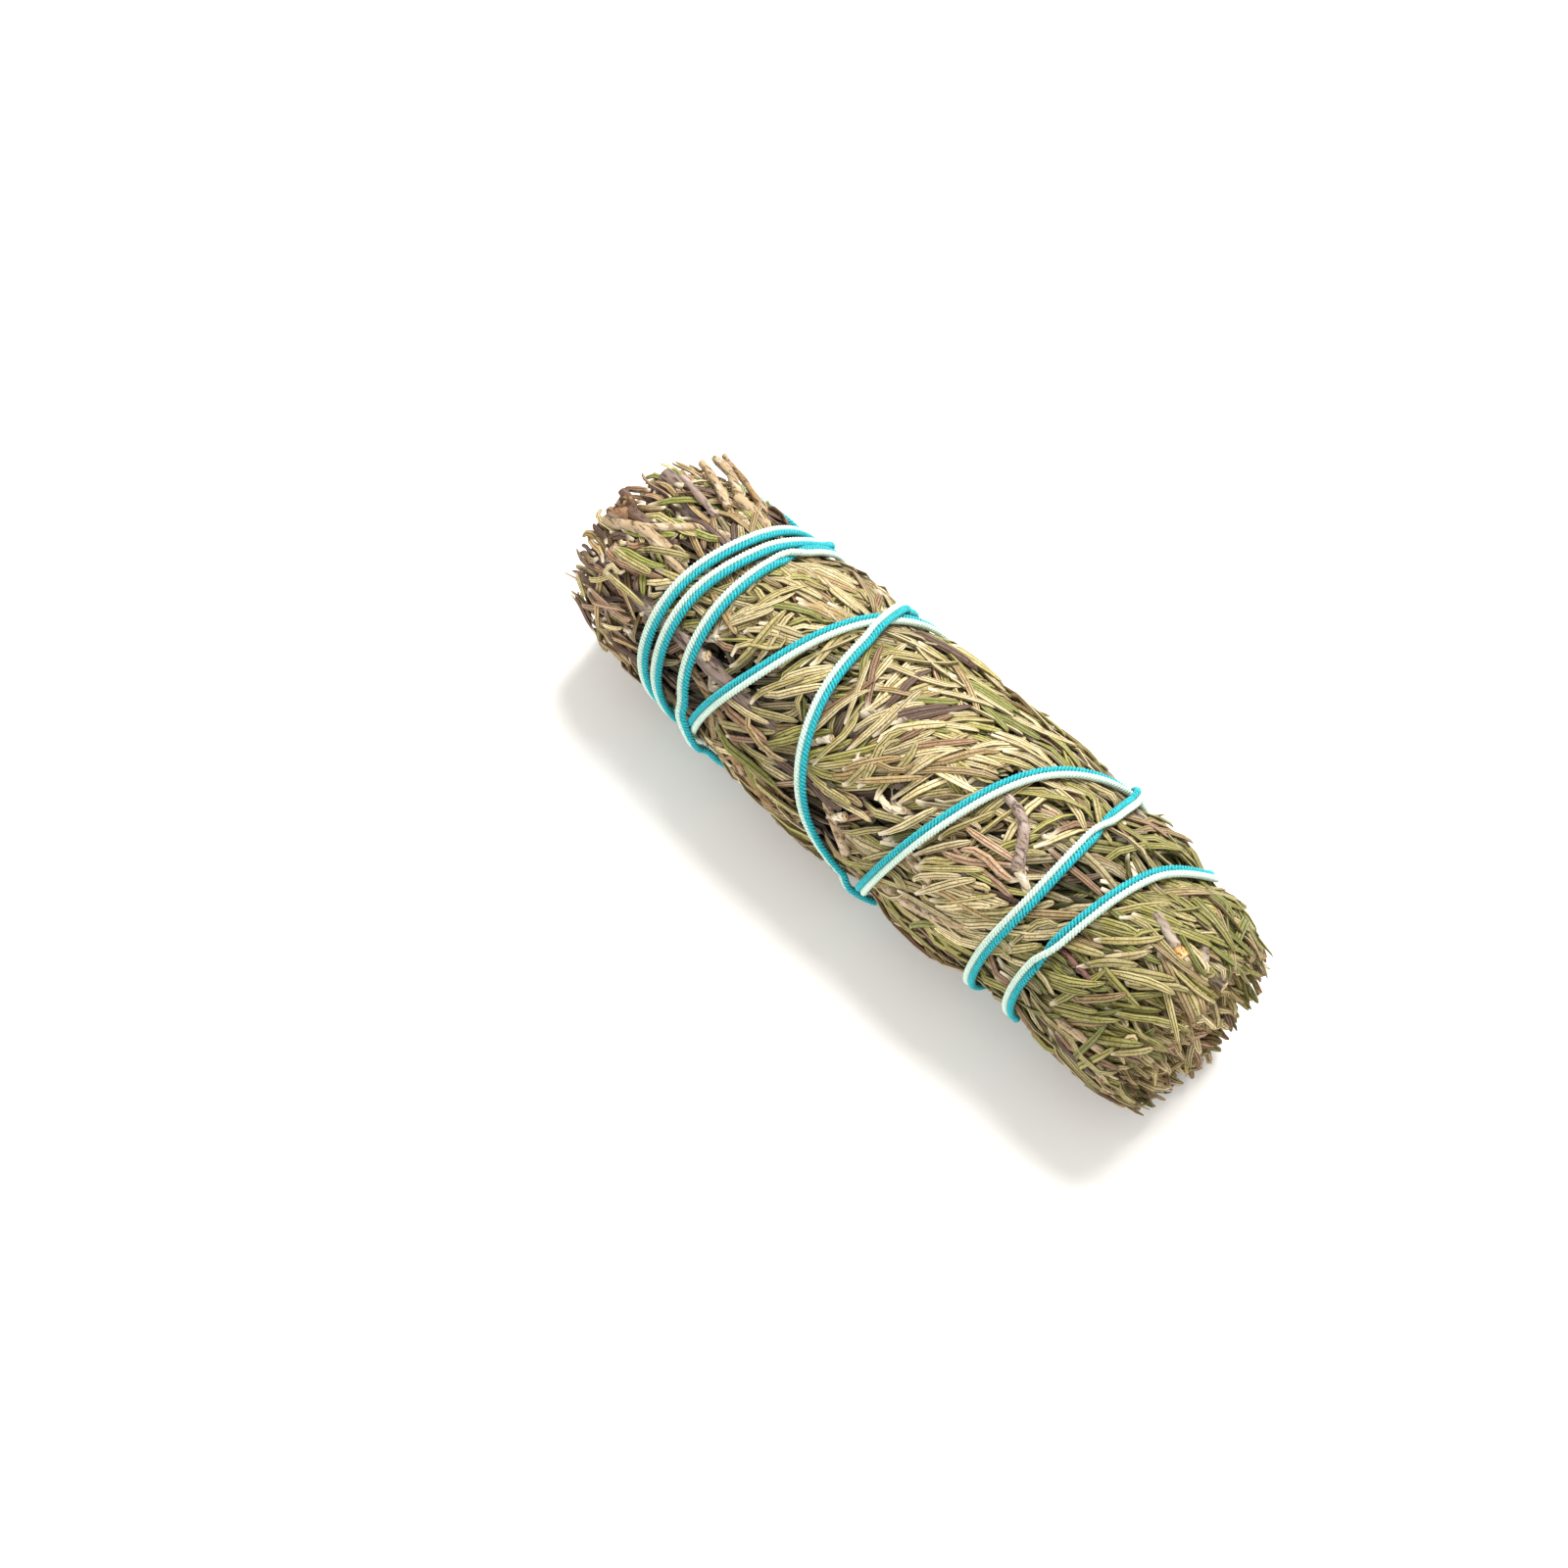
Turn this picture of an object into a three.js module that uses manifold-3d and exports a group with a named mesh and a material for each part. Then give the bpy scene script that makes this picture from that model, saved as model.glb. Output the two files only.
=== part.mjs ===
// A bundle of dried rosemary: nineteen sprigs laid side by side and bound by a pair of cotton threads,
// one turquoise and one pale mint, that run to the far end and back and are knotted together.
// Millimetres, +Z up. The bundle lies on its side along X, with the cut stems towards -X and the tips
// towards +X. It rests on the flattened undersides of its lower sprigs, and the origin is on that
// surface, under the middle of the bundle.
import * as THREE from "three";
import { mergeVertices } from "three/addons/utils/BufferGeometryUtils.js";
import Module from "manifold-3d";

const wasm = await Module();
wasm.setup();

// ---- Driving dimensions ----
const bundleRadius = 18.6; // of the binding, round the thickest part of the bundle
const restFlattening = 0.9; // how far the underside is pressed flat where the bundle lies
const leafProud = 0.35; // how far the leaves bulge out between the threads
const pithRadius = 3.7; // of the sprig in the middle
const innerRingRadius = 10.6; // round the ring of sprigs about the middle one
const innerSprigs = 6;
const outerSprigs = 12;
const bundleTwist = 10; // degrees that the sprigs turn about the axis, end to end
const leafStart = -54; // where the leaves begin at the cut end
const leafEnd = 57; // where the leaves end at the tips
const leafStagger = 1.6; // by how much the sprigs' ends differ
const stemDiameter = 2.8; // of a woody stem at its cut
const stubReach = 62; // from the middle to the furthest cut stem, and to the furthest tip
const stubLean = 0.06; // how far a cut stem leans out of line, as a share of its sprig's depth
const leafSpacing = 26; // between the proud leaves on one side of a sprig
const leafLength = 13;
const leafWidth = 1.5;
const leafThickness = 1.3;
const leafClearOfTable = 1.4; // no proud leaf is modelled lower than this
const threadDiameter = 1.0;
const clearance = 0.3; // between separate pieces
const trenchHeight = 4; // how far above a thread its trench is cut, well clear of the leaves
const knotSize = new THREE.Vector3(2.2, 1.9, 1.4); // half its size along, round and out from the bundle

// The bundle's waist and shoulders: how much narrower than bundleRadius the binding is at each place.
const waist = [
  [-62, 3.2],
  [-50, 2.0],
  [-40, 1.5],
  [-26, 0.5],
  [-10, 0.0],
  [22, 0.0],
  [40, 0.8],
  [50, 1.5],
  [62, 4.2],
];

// The binding's route. Each row is one turn of the pair round the bundle, and holds how far along X the
// pair is at each eighth of the turn, from firstAngle on. The first four turns run out to the tips, and
// the other four come back beneath them.
const firstAngle = 30;
const eighth = 45;
const turns = [
  [-34.6, -36.3, -38.8, -38.3, -35.5, -35.2, -34.8, -33.4],
  [-32.0, -33.6, -34.2, -32.2, -25.8, -22.8, -20.6, -18.6],
  [-16.6, -13.8, -11.4, -5.7, 4.6, 11.0, 16.5, 23.0],
  [30.0, 32.4, 32.8, 30.4, 28.4, 28.2, 31.5, 40.0],
  [46.5, 42.8, 40.2, 37.4, 36.2, 35.9, 34.9, 32.8],
  [28.0, 20.3, 15.2, 10.2, 5.4, 1.5, -2.6, -7.4],
  [-11.4, -16.9, -21.8, -27.8, -31.6, -31.9, -32.6, -34.9],
  [-37.6, -39.4, -41.8, -41.5, -38.8, -38.4, -39.2, -40.2],
];
const turnsOut = 4;
const routeStart = 2; // degrees, where the pair leaves the knot
const routeEnd = 7 * 360 + 342; // degrees, where it comes back to it
const beforeRoute = -38.6; // how far along X the pair is an eighth of a turn before the first row
const knotPlace = { x: -39.6, angle: 352 };

// Degrees along the route at which the two threads of the pair change sides.
const swaps = [222, 426, 1058, 1155, 1435, 1580, 1658, 2382];
const swapLength = 26; // degrees that one change of sides takes

// The four tails. Each row is [along X, degrees] at points from the knot outwards.
const tails = {
  turquoise_tail_a: [[-40.8, 1.5], [-42.8, 6.5], [-46.4, 9.5], [-50.5, 7.0], [-54.5, 8.5]],
  white_tail_a: [[-42.6, -3.0], [-45.6, 1.5], [-49.5, 1.0], [-52.0, -2.5]],
  turquoise_tail_b: [[-42.6, -12.5], [-46.5, -16.5], [-50.5, -14.0], [-55.0, -19.0]],
  white_tail_b: [[-40.8, -17.5], [-43.6, -24.0], [-47.0, -29.5], [-51.0, -29.0]],
};

// ---- Worked out from them ----
const threadRadius = threadDiameter / 2;
const pairSpacing = threadDiameter + clearance; // between the centres of the two threads
const axisHeight = bundleRadius - restFlattening;
const radians = THREE.MathUtils.degToRad;
const smooth = (t) => THREE.MathUtils.smoothstep(t, 0, 1);

// The binding's radius at a place along the bundle.
function bindingRadius(x) {
  let k = 0;
  while (k < waist.length - 2 && x > waist[k + 1][0]) k++;
  const [x0, narrow0] = waist[k];
  const [x1, narrow1] = waist[k + 1];
  const share = THREE.MathUtils.clamp((x - x0) / (x1 - x0), 0, 1);
  return bundleRadius - THREE.MathUtils.lerp(narrow0, narrow1, smooth(share));
}

// A point at a radius and an angle about the bundle's axis. Angles run from +Y over the top.
function roundAxis(x, radius, angle) {
  const a = radians(angle);
  return new THREE.Vector3(x, radius * Math.cos(a), axisHeight + radius * Math.sin(a));
}

function geometryOf(points, triangles) {
  const geometry = new THREE.BufferGeometry().setFromPoints(points);
  geometry.setIndex(triangles);
  return geometry;
}

// A closed skin over a row of rings that all have the same number of points.
function loft(rings) {
  const n = rings[0].length;
  const last = (rings.length - 1) * n;
  const triangles = [];
  for (let k = 0; k < rings.length - 1; k++)
    for (let i = 0; i < n; i++) {
      const [a, b] = [k * n + i, k * n + ((i + 1) % n)];
      triangles.push(a, b, b + n, a, b + n, a + n);
    }
  for (let i = 1; i < n - 1; i++) {
    triangles.push(0, i + 1, i);
    triangles.push(last, last + i, last + i + 1);
  }
  return geometryOf(rings.flat(), triangles);
}

function solidOf(geometry) {
  const bare = geometry.clone();
  bare.deleteAttribute("normal");
  bare.deleteAttribute("uv");
  const merged = mergeVertices(bare, 1e-4);
  const made = new wasm.Manifold(
    new wasm.Mesh({
      numProp: 3,
      vertProperties: new Float32Array(merged.attributes.position.array),
      triVerts: new Uint32Array(merged.index.array),
    }),
  );
  if (made.volume() < 0) throw new Error("a solid's faces point inwards");
  return made;
}

function geometryOfSolid(solid) {
  const mesh = solid.getMesh();
  const geometry = new THREE.BufferGeometry();
  geometry.setAttribute("position", new THREE.BufferAttribute(mesh.vertProperties, 3));
  geometry.setIndex(new THREE.BufferAttribute(mesh.triVerts, 1));
  return geometry.toNonIndexed();
}

// The biggest piece of a solid, without any slivers that a cut has left loose.
function biggestPiece(solid) {
  return solid.decompose().sort((a, b) => b.volume() - a.volume())[0];
}

// ---- The binding's route ----

// How far along X the pair is, at a number of degrees along the route.
const eighths = [beforeRoute, ...turns.flat()];
function routeX(degrees) {
  const along = (degrees - firstAngle) / eighth + 1;
  const k = THREE.MathUtils.clamp(Math.floor(along), 0, eighths.length - 2);
  const t = along - k;
  const at = (i) => eighths[THREE.MathUtils.clamp(i, 0, eighths.length - 1)];
  const [p0, p1, p2, p3] = [at(k - 1), at(k), at(k + 1), at(k + 2)];
  const bend = (2 * p0 - 5 * p1 + 4 * p2 - p3) * t * t + (3 * p1 - p0 - 3 * p2 + p3) * t * t * t;
  return 0.5 * (2 * p1 + (p2 - p0) * t + bend);
}

// How far apart two places on the binding are, along its surface.
function surfaceDistance(a, b) {
  const round = Math.abs(((((a.degrees - b.degrees) % 360) + 540) % 360) - 180);
  return Math.hypot(a.x - b.x, radians(round) * bundleRadius);
}

const turnBack = firstAngle + 360 * turnsOut - eighth / 2;
const returning = [];
for (let degrees = turnBack + 2 * eighth; degrees <= routeEnd; degrees += 3)
  returning.push({ degrees, x: routeX(degrees) });

// Where an outgoing turn crosses a returning one, it climbs over it by a thread and a clearance.
const pairHalfWidth = pairSpacing / 2 + threadRadius;
const climbStart = 2 * pairHalfWidth + 1.6;
function climb(degrees) {
  if (degrees > turnBack) return 0;
  const here = { degrees, x: routeX(degrees) };
  const nearest = Math.min(...returning.map((place) => surfaceDistance(place, here)));
  const share = (climbStart - nearest) / (climbStart - 2 * pairHalfWidth);
  return (threadDiameter + clearance) * smooth(share);
}

// How far through its changes of sides the pair is, in half turns.
const sidesChanged = (degrees) =>
  swaps.reduce((sum, swap) => sum + smooth((degrees - swap) / swapLength + 0.5), 0);

// A frame that travels along a path on the bundle: its middle, outwards, and across towards the tips.
function frameOn(path, at, step) {
  const middle = path(at);
  const ahead = path(at + step).sub(path(at - step)).normalize();
  const out = new THREE.Vector3(0, middle.y, middle.z - axisHeight).normalize();
  out.addScaledVector(ahead, -out.dot(ahead)).normalize();
  return { middle, out, across: new THREE.Vector3().crossVectors(out, ahead), turned: 0 };
}

function routePoint(degrees, lift) {
  const x = routeX(degrees);
  const point = roundAxis(x, bindingRadius(x) + lift, degrees);
  point.z = Math.max(point.z, threadRadius + clearance);
  return point;
}

// Frames every few degrees, and closer together where the pair climbs or changes sides.
const coarseStep = 18;
const fineStep = 6;
const routeFrames = [];
const trenchFrames = [];
for (let degrees = routeStart; degrees < routeEnd; degrees += fineStep) {
  const frame = frameOn((d) => routePoint(d, climb(d)), degrees, 0.5);
  frame.turned = Math.PI * sidesChanged(degrees);
  const busy = [-6, 6].some(
    (d) =>
      Math.abs(climb(degrees + d) - climb(degrees)) > 0.05 ||
      Math.abs(sidesChanged(degrees + d) - sidesChanged(degrees)) > 0.02,
  );
  const coarse = Math.round((degrees - routeStart) / fineStep) % (coarseStep / fineStep) === 0;
  if (busy || coarse) routeFrames.push(frame);
  if (!coarse) continue;
  const changing = sidesChanged(degrees + coarseStep) !== sidesChanged(degrees - coarseStep);
  trenchFrames.push({
    ...frameOn((d) => routePoint(d, 0), degrees, 0.5),
    turned: changing ? Math.PI / 2 : 0,
  });
}

// A thread along a row of frames. The pair's two threads lie to either side of it, with opposite signs, and
// a thread with a sign of 0 lies on it.
function thread(frames, sign, sides) {
  const rings = frames.map(({ middle, out, across, turned }) => {
    const centre = middle
      .clone()
      .addScaledVector(across, (sign * pairSpacing * Math.cos(turned)) / 2)
      .addScaledVector(out, (sign * pairSpacing * Math.sin(turned)) / 2);
    const ring = [];
    for (let i = 0; i < sides; i++) {
      const a = (i * 2 * Math.PI) / sides;
      const point = centre.clone().addScaledVector(out, threadRadius * Math.cos(a));
      ring.push(point.addScaledVector(across, -threadRadius * Math.sin(a)));
    }
    return ring;
  });
  return loft(rings);
}

// The room that threads press into the leaves: a square trench along a row of frames.
function trench(frames, halfWidth) {
  const framesInPiece = 6;
  const pieces = [];
  for (let start = 0; start < frames.length - 1; start += framesInPiece - 1) {
    const rings = frames.slice(start, start + framesInPiece).map((frame) => {
      const { middle, out, across, turned } = frame;
      const deep = threadRadius + clearance + (pairSpacing / 2) * Math.abs(Math.sin(turned));
      const corner = (sideways, outwards) =>
        middle.clone().addScaledVector(across, sideways).addScaledVector(out, outwards);
      const half = halfWidth + clearance;
      return [
        corner(half, -deep),
        corner(half, trenchHeight),
        corner(-half, trenchHeight),
        corner(-half, -deep),
      ];
    });
    if (rings.length > 1) pieces.push(solidOf(loft(rings)));
  }
  return wasm.Manifold.union(pieces);
}

// ---- The tails' paths, lying on the leaves ----
const tailFrames = {};
for (const [name, points] of Object.entries(tails)) {
  const lift = leafProud + clearance + threadRadius;
  const curve = new THREE.CatmullRomCurve3(
    points.map(([x, angle]) => roundAxis(x, bindingRadius(x) + lift, angle)),
  );
  tailFrames[name] = [];
  for (let k = 0; k <= 9; k++) {
    const t = 0.01 + (0.98 * k) / 9;
    tailFrames[name].push(frameOn((s) => curve.getPoint(s), t, 0.01));
  }
}

// ---- The knot ----
const knotFrame = new THREE.Matrix4();
{
  const a = radians(knotPlace.angle);
  const along = new THREE.Vector3(1, 0, 0);
  const out = new THREE.Vector3(0, Math.cos(a), Math.sin(a));
  const round = new THREE.Vector3().crossVectors(out, along);
  knotFrame.makeBasis(along, round, out);
  const lift = bindingRadius(knotPlace.x) + 0.55 * knotSize.z;
  knotFrame.setPosition(roundAxis(knotPlace.x, lift, knotPlace.angle));
}
const knotCore = new THREE.SphereGeometry(1, 8, 6).scale(0.82, 0.82, 0.86);
const knotLoops = [-38, 38].map((turn) =>
  new THREE.TorusGeometry(0.74, 0.26, 4, 9)
    .rotateX(radians(90))
    .rotateY(radians(90))
    .rotateZ(radians(turn)),
);
const inPlace = (geometry, grow) =>
  geometry
    .clone()
    .scale(knotSize.x + grow, knotSize.y + grow, knotSize.z + grow)
    .applyMatrix4(knotFrame);
const knotSolid = wasm.Manifold.union(
  [knotCore, ...knotLoops].map((geometry) => solidOf(inPlace(geometry, 0))),
);
const knotHollow = solidOf(inPlace(new THREE.SphereGeometry(1.08, 8, 6), clearance));

// ---- The sprigs ----
const ringEdges = [0, pithRadius / bundleRadius, innerRingRadius / bundleRadius, 1];
const sprigs = [{ ring: 0, from: 0, width: 360 }];
for (let i = 0; i < innerSprigs; i++)
  sprigs.push({ ring: 1, from: ((i + 0.25) * 360) / innerSprigs, width: 360 / innerSprigs });
for (let i = 0; i < outerSprigs; i++)
  sprigs.push({ ring: 2, from: ((i - 0.5) * 360) / outerSprigs, width: 360 / outerSprigs });

// A fixed, uneven number from -1 to 1 for each sprig and each use.
function uneven(sprig, use) {
  const s = Math.sin(sprig * 127.1 + use * 311.7) * 43758.5453;
  return 2 * (s - Math.floor(s)) - 1;
}

// A point of a sprig's cross-section: across it from 0 to 1, and from its inner face, 0, to its outer, 1.
function inSprig(sprig, x, across, outwards) {
  const edge = bindingRadius(x);
  const inner = sprig.ring === 0 ? 0 : edge * ringEdges[sprig.ring] + clearance / 2;
  const bulge = sprig.ring === 2 ? leafProud * (1.4 * Math.sin(Math.PI * across) - 0.3) : 0;
  const outer = edge * ringEdges[sprig.ring + 1] + (sprig.ring === 2 ? bulge : -clearance / 2);
  const radius = THREE.MathUtils.lerp(inner, outer, outwards);
  const gap = THREE.MathUtils.radToDeg(clearance / 2 / Math.max(radius, 1));
  const twist = (bundleTwist * x) / (2 * stubReach);
  const angle = sprig.from + twist + gap + across * (sprig.width - 2 * gap);
  const point = roundAxis(x, radius, angle);
  point.z = Math.max(point.z, 0);
  return point;
}

// A sprig's cross-section at a place, drawn in towards its middle by a share.
function sprigRing(sprig, x, drawnIn) {
  const ring = [];
  if (sprig.ring === 0) {
    for (let i = 0; i < 8; i++) ring.push(inSprig({ ...sprig, width: 360 }, x, i / 8, 1));
  } else {
    for (let i = 0; i < 4; i++) ring.push(inSprig(sprig, x, i / 3, 1));
    for (let i = 2; i >= 0; i--) ring.push(inSprig(sprig, x, i / 2, 0));
  }
  const middle = inSprig(sprig, x, 0.5, sprig.ring === 0 ? 0 : 0.55);
  return ring.map((point) => point.lerp(middle, drawnIn));
}

// A slender spike with a ridge along its back: a leaf, from its base to its tip.
function leaf(base, middle, tip, width, thickness) {
  const curve = new THREE.QuadraticBezierCurve3(base, middle, tip);
  const rings = [[0.01, 0.6], [0.5, 1], [0.99, 0.3]].map(([t, size]) => {
    const frame = frameOn((s) => curve.getPoint(s), t, 0.01);
    const corner = (across, out) =>
      frame.middle
        .clone()
        .addScaledVector(frame.across, (-across * size * width) / 2)
        .addScaledVector(frame.out, out * size * thickness);
    return [corner(0, 0.5), corner(1, -0.5), corner(-1, -0.5)];
  });
  return solidOf(loft(rings));
}

// A round length of wood through some points, with a radius at each.
function wood(points, radii, sides) {
  const curve = new THREE.CatmullRomCurve3(points);
  const last = points.length - 1;
  const rings = points.map((point, k) => {
    const ahead = curve.getTangent(k / last);
    const up = new THREE.Vector3(0, 0, 1).addScaledVector(ahead, -ahead.z).normalize();
    const aside = new THREE.Vector3().crossVectors(ahead, up);
    return Array.from({ length: sides }, (_, i) => {
      const a = (i * 2 * Math.PI) / sides;
      const ringPoint = point.clone().addScaledVector(up, radii[k] * Math.cos(a));
      return ringPoint.addScaledVector(aside, radii[k] * Math.sin(a));
    });
  });
  return solidOf(loft(rings));
}

const cut = wasm.Manifold.union([
  trench(trenchFrames, pairHalfWidth),
  ...Object.values(tailFrames).map((frames) => trench(frames, threadRadius)),
  knotHollow,
]);

sprigs.forEach((sprig, n) => {
  const start = leafStart + leafStagger * uneven(n, 1);
  const end = leafEnd + leafStagger * uneven(n, 2);
  const between = sprig.ring === 2 ? [-40, -24, 0, 24, 42] : [-20, 20];
  const stations = [start, start + 4, ...between, end - 3, end];
  const isEnd = (x) => x === start || x === end;
  const rings = stations.map((x) => sprigRing(sprig, x, isEnd(x) ? 0.3 : 0));
  const parts = [solidOf(loft(rings))];

  // The woody stem shows at both ends; the first sprig's reach the bundle's full length.
  const outwards = sprig.ring === 0 ? 0 : 0.55;
  const reach = n === 0 ? 0 : 2.6 * (1 + uneven(n, 3));
  const stemRadius = (stemDiameter / 2) * (1 + 0.16 * uneven(n, 4));
  const tipReach = n === 0 ? 0 : 2.4 * (1 + uneven(n, 5));
  const across = 0.5 + 0.08 * uneven(n, 6);
  parts.push(
    wood(
      [start + 6, start - 1, -stubReach + reach].map((x, k) =>
        inSprig(sprig, x, across, outwards + stubLean * k * uneven(n, 7)),
      ),
      [stemRadius, stemRadius, 0.94 * stemRadius],
      7,
    ),
    wood(
      [end - 6, end - 1, stubReach - tipReach].map((x, k) =>
        inSprig(sprig, x, across, outwards + stubLean * k * uneven(n, 8)),
      ),
      [0.6 * stemRadius, 0.55 * stemRadius, 0.42 * stemRadius],
      5,
    ),
  );

  // Leaves that stand proud of the outer sprigs' sides, in a herringbone, with their tips towards +X.
  if (sprig.ring === 2)
    for (let k = 0; start + 3 + k * leafSpacing < end - 4; k++)
      for (const side of [-1, 1]) {
        const x = start + 3 + (k + 0.25 * (1 + side)) * leafSpacing + uneven(n * 40 + k, side);
        const lean = 0.17 + 0.05 * uneven(n * 40 + k, 9 + side);
        const spot = (share, rise) => {
          const aside = side * (0.08 + share * lean);
          const place = inSprig(sprig, x + share * leafLength, 0.5 + aside, 1);
          const out = new THREE.Vector3(0, place.y, place.z - axisHeight).normalize();
          return place.addScaledVector(out, rise);
        };
        const [base, middle, tip] = [spot(0, -0.2), spot(0.5, 0.35), spot(1, 0.1)];
        if (Math.min(base.z, middle.z, tip.z) > leafClearOfTable && tip.x < stubReach - 1)
          parts.push(leaf(base, middle, tip, leafWidth, leafThickness));
      }
  const solid = biggestPiece(wasm.Manifold.union(parts).subtract(cut)).simplify(0.02);
  sprig.geometry = geometryOfSolid(solid);
});

// ---- The part ----
const group = new THREE.Group();
function add(name, geometry, color) {
  const mesh = new THREE.Mesh(geometry, new THREE.MeshStandardMaterial({ color, roughness }));
  mesh.name = name;
  group.add(mesh);
}

const leafColours = [0x8f8a5c, 0x9a8a5a, 0x7f8058, 0xa8986a, 0x86794f];
const turquoise = 0x47c6cc;
const mint = 0xe4f0e8;
const roughness = 0.85;
sprigs.forEach((sprig, n) => {
  const name = `sprig_${String(n + 1).padStart(2, "0")}`;
  add(name, sprig.geometry, leafColours[n % leafColours.length]);
});
add("turquoise_thread", thread(routeFrames, 1, 5), turquoise);
add("white_thread", thread(routeFrames, -1, 5), mint);
add("knot", geometryOfSolid(knotSolid), turquoise);
for (const [name, frames] of Object.entries(tailFrames))
  add(name, thread(frames, 0, 6), name.startsWith("white") ? mint : turquoise);

export default group;
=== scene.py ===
"""The looks of a bundle of dried rosemary bound with two cotton threads, round the frame of its solids.

Metres, +Z up. The bundle lies along X with its cut stems towards -X, on a surface at Z = 0.
"""
import math

import bpy
import numpy as np
from mathutils import Matrix, Vector


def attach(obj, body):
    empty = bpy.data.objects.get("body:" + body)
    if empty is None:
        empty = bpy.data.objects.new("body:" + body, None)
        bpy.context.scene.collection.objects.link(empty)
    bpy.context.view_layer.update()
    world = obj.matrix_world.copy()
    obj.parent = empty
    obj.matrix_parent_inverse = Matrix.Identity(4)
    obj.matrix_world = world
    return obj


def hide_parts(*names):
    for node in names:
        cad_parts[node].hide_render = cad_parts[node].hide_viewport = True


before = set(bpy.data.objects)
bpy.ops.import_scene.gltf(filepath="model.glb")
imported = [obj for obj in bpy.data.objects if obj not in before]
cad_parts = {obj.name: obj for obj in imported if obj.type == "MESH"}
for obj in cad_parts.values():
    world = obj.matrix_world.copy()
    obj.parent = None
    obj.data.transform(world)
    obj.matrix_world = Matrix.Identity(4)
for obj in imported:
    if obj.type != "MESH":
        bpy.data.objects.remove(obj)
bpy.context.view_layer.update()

# ---- The camera, the floor and the light ----
# The bundle lies on a plain white table and is looked down on, from beside its tip end. Its middle is a
# little to the right of the view's. A large soft lamp stands high behind it, and the rest of the light
# comes evenly from a pale room.
MM = 0.001
axis_height = 17.7 * MM
azimuth, elevation = math.radians(45.2), math.radians(59.6)
camera_distance = 558.8 * MM
offset_right, offset_up = 19.5 * MM, 1.85 * MM  # of the bundle's middle in the view

back = Vector((
    math.sin(azimuth) * math.cos(elevation),
    -math.cos(azimuth) * math.cos(elevation),
    math.sin(elevation),
))
rightwards = Vector((math.cos(azimuth), math.sin(azimuth), 0))
upwards = back.cross(rightwards)
camera = bpy.data.objects.new("camera", bpy.data.cameras.new("camera"))
bpy.context.collection.objects.link(camera)
camera.data.lens = 85
camera.data.sensor_width = 36
camera.data.clip_start = 0.02
camera.rotation_mode = "QUATERNION"
camera.rotation_quaternion = Matrix((rightwards, upwards, back)).transposed().to_quaternion()
camera.location = (
    Vector((0, 0, axis_height))
    + back * camera_distance
    - rightwards * offset_right
    - upwards * offset_up
)
bpy.context.scene.camera = camera

floor_mesh = bpy.data.meshes.new("floor")
floor_reach = 3.0
floor_mesh.from_pydata(
    [(x * floor_reach, y * floor_reach, 0) for x, y in ((-1, -1), (1, -1), (1, 1), (-1, 1))],
    [],
    [(0, 1, 2, 3)],
)
floor = bpy.data.objects.new("floor", floor_mesh)
bpy.context.collection.objects.link(floor)
floor_material = bpy.data.materials.new("white_table")
floor_material.use_nodes = True
floor_shader = floor_material.node_tree.nodes["Principled BSDF"]
floor_shader.inputs["Base Color"].default_value = (0.9, 0.89, 0.87, 1)
floor_shader.inputs["Roughness"].default_value = 0.7
floor_mesh.materials.append(floor_material)


def area_lamp(name, place, size, power, colour):
    lamp = bpy.data.objects.new(name, bpy.data.lights.new(name, "AREA"))
    lamp.data.shape = "DISK"
    lamp.data.size = size
    lamp.data.energy = power
    lamp.data.color = colour
    lamp.location = place
    lamp.rotation_mode = "QUATERNION"
    aim = Vector((0, 0, axis_height)) - Vector(place)
    lamp.rotation_quaternion = aim.to_track_quat("-Z", "Y")
    bpy.context.collection.objects.link(lamp)


area_lamp("window_lamp", (-0.12, 0.58, 0.98), 0.6, 23.0, (1.0, 0.985, 0.955))
area_lamp("fill_lamp", (0.42, -0.85, 0.75), 0.9, 6.5, (1.0, 0.99, 0.97))
world = bpy.data.worlds.new("pale_room")
world.use_nodes = True
world.node_tree.nodes["Background"].inputs["Color"].default_value = (1, 0.99, 0.97, 1)
world.node_tree.nodes["Background"].inputs["Strength"].default_value = 0.74
bpy.context.scene.world = world
bpy.context.scene.view_settings.view_transform = "Standard"

# ---- The binding ----
# Two cotton threads of three plies each, one turquoise and one pale mint, held side by side and wound
# round the sprigs: out to the tip end in four turns and back over the same ground beneath them.
bundle_radius = 18.6 * MM
thread_diameter = 1.0 * MM
pair_spacing = 1.03 * MM
lowest_thread = 0.8 * MM

# The bundle's waist and shoulders: how much narrower than bundle_radius the binding is at each place.
waist_places = MM * np.array([-62, -50, -40, -26, -10, 22, 40, 50, 62])
waist_narrowing = MM * np.array([3.2, 2.0, 1.5, 0.5, 0.0, 0.0, 0.8, 1.5, 4.2])

# The binding's route: how far along X the pair is at each eighth of a turn, one row for each turn.
first_angle = 30.0
eighth = 45.0
route_rows = MM * np.array([
    [-34.6, -36.3, -38.8, -38.3, -35.5, -35.2, -34.8, -33.4],
    [-32.0, -33.6, -34.2, -32.2, -25.8, -22.8, -20.6, -18.6],
    [-16.6, -13.8, -11.4, -5.7, 4.6, 11.0, 16.5, 23.0],
    [30.0, 32.4, 32.8, 30.4, 28.4, 28.2, 31.5, 40.0],
    [46.5, 42.8, 40.2, 37.4, 36.2, 35.9, 34.9, 32.8],
    [28.0, 20.3, 15.2, 10.2, 5.4, 1.5, -2.6, -7.4],
    [-11.4, -16.9, -21.8, -27.8, -31.6, -31.9, -32.6, -34.9],
    [-37.6, -39.4, -41.8, -41.5, -38.8, -38.4, -39.2, -40.2],
])
before_route = -38.6 * MM
turns_out = 4
route_start, route_end = 2.0, 7 * 360 + 342.0
side_swaps = (222, 426, 1058, 1155, 1435, 1580, 1658, 2382)
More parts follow.
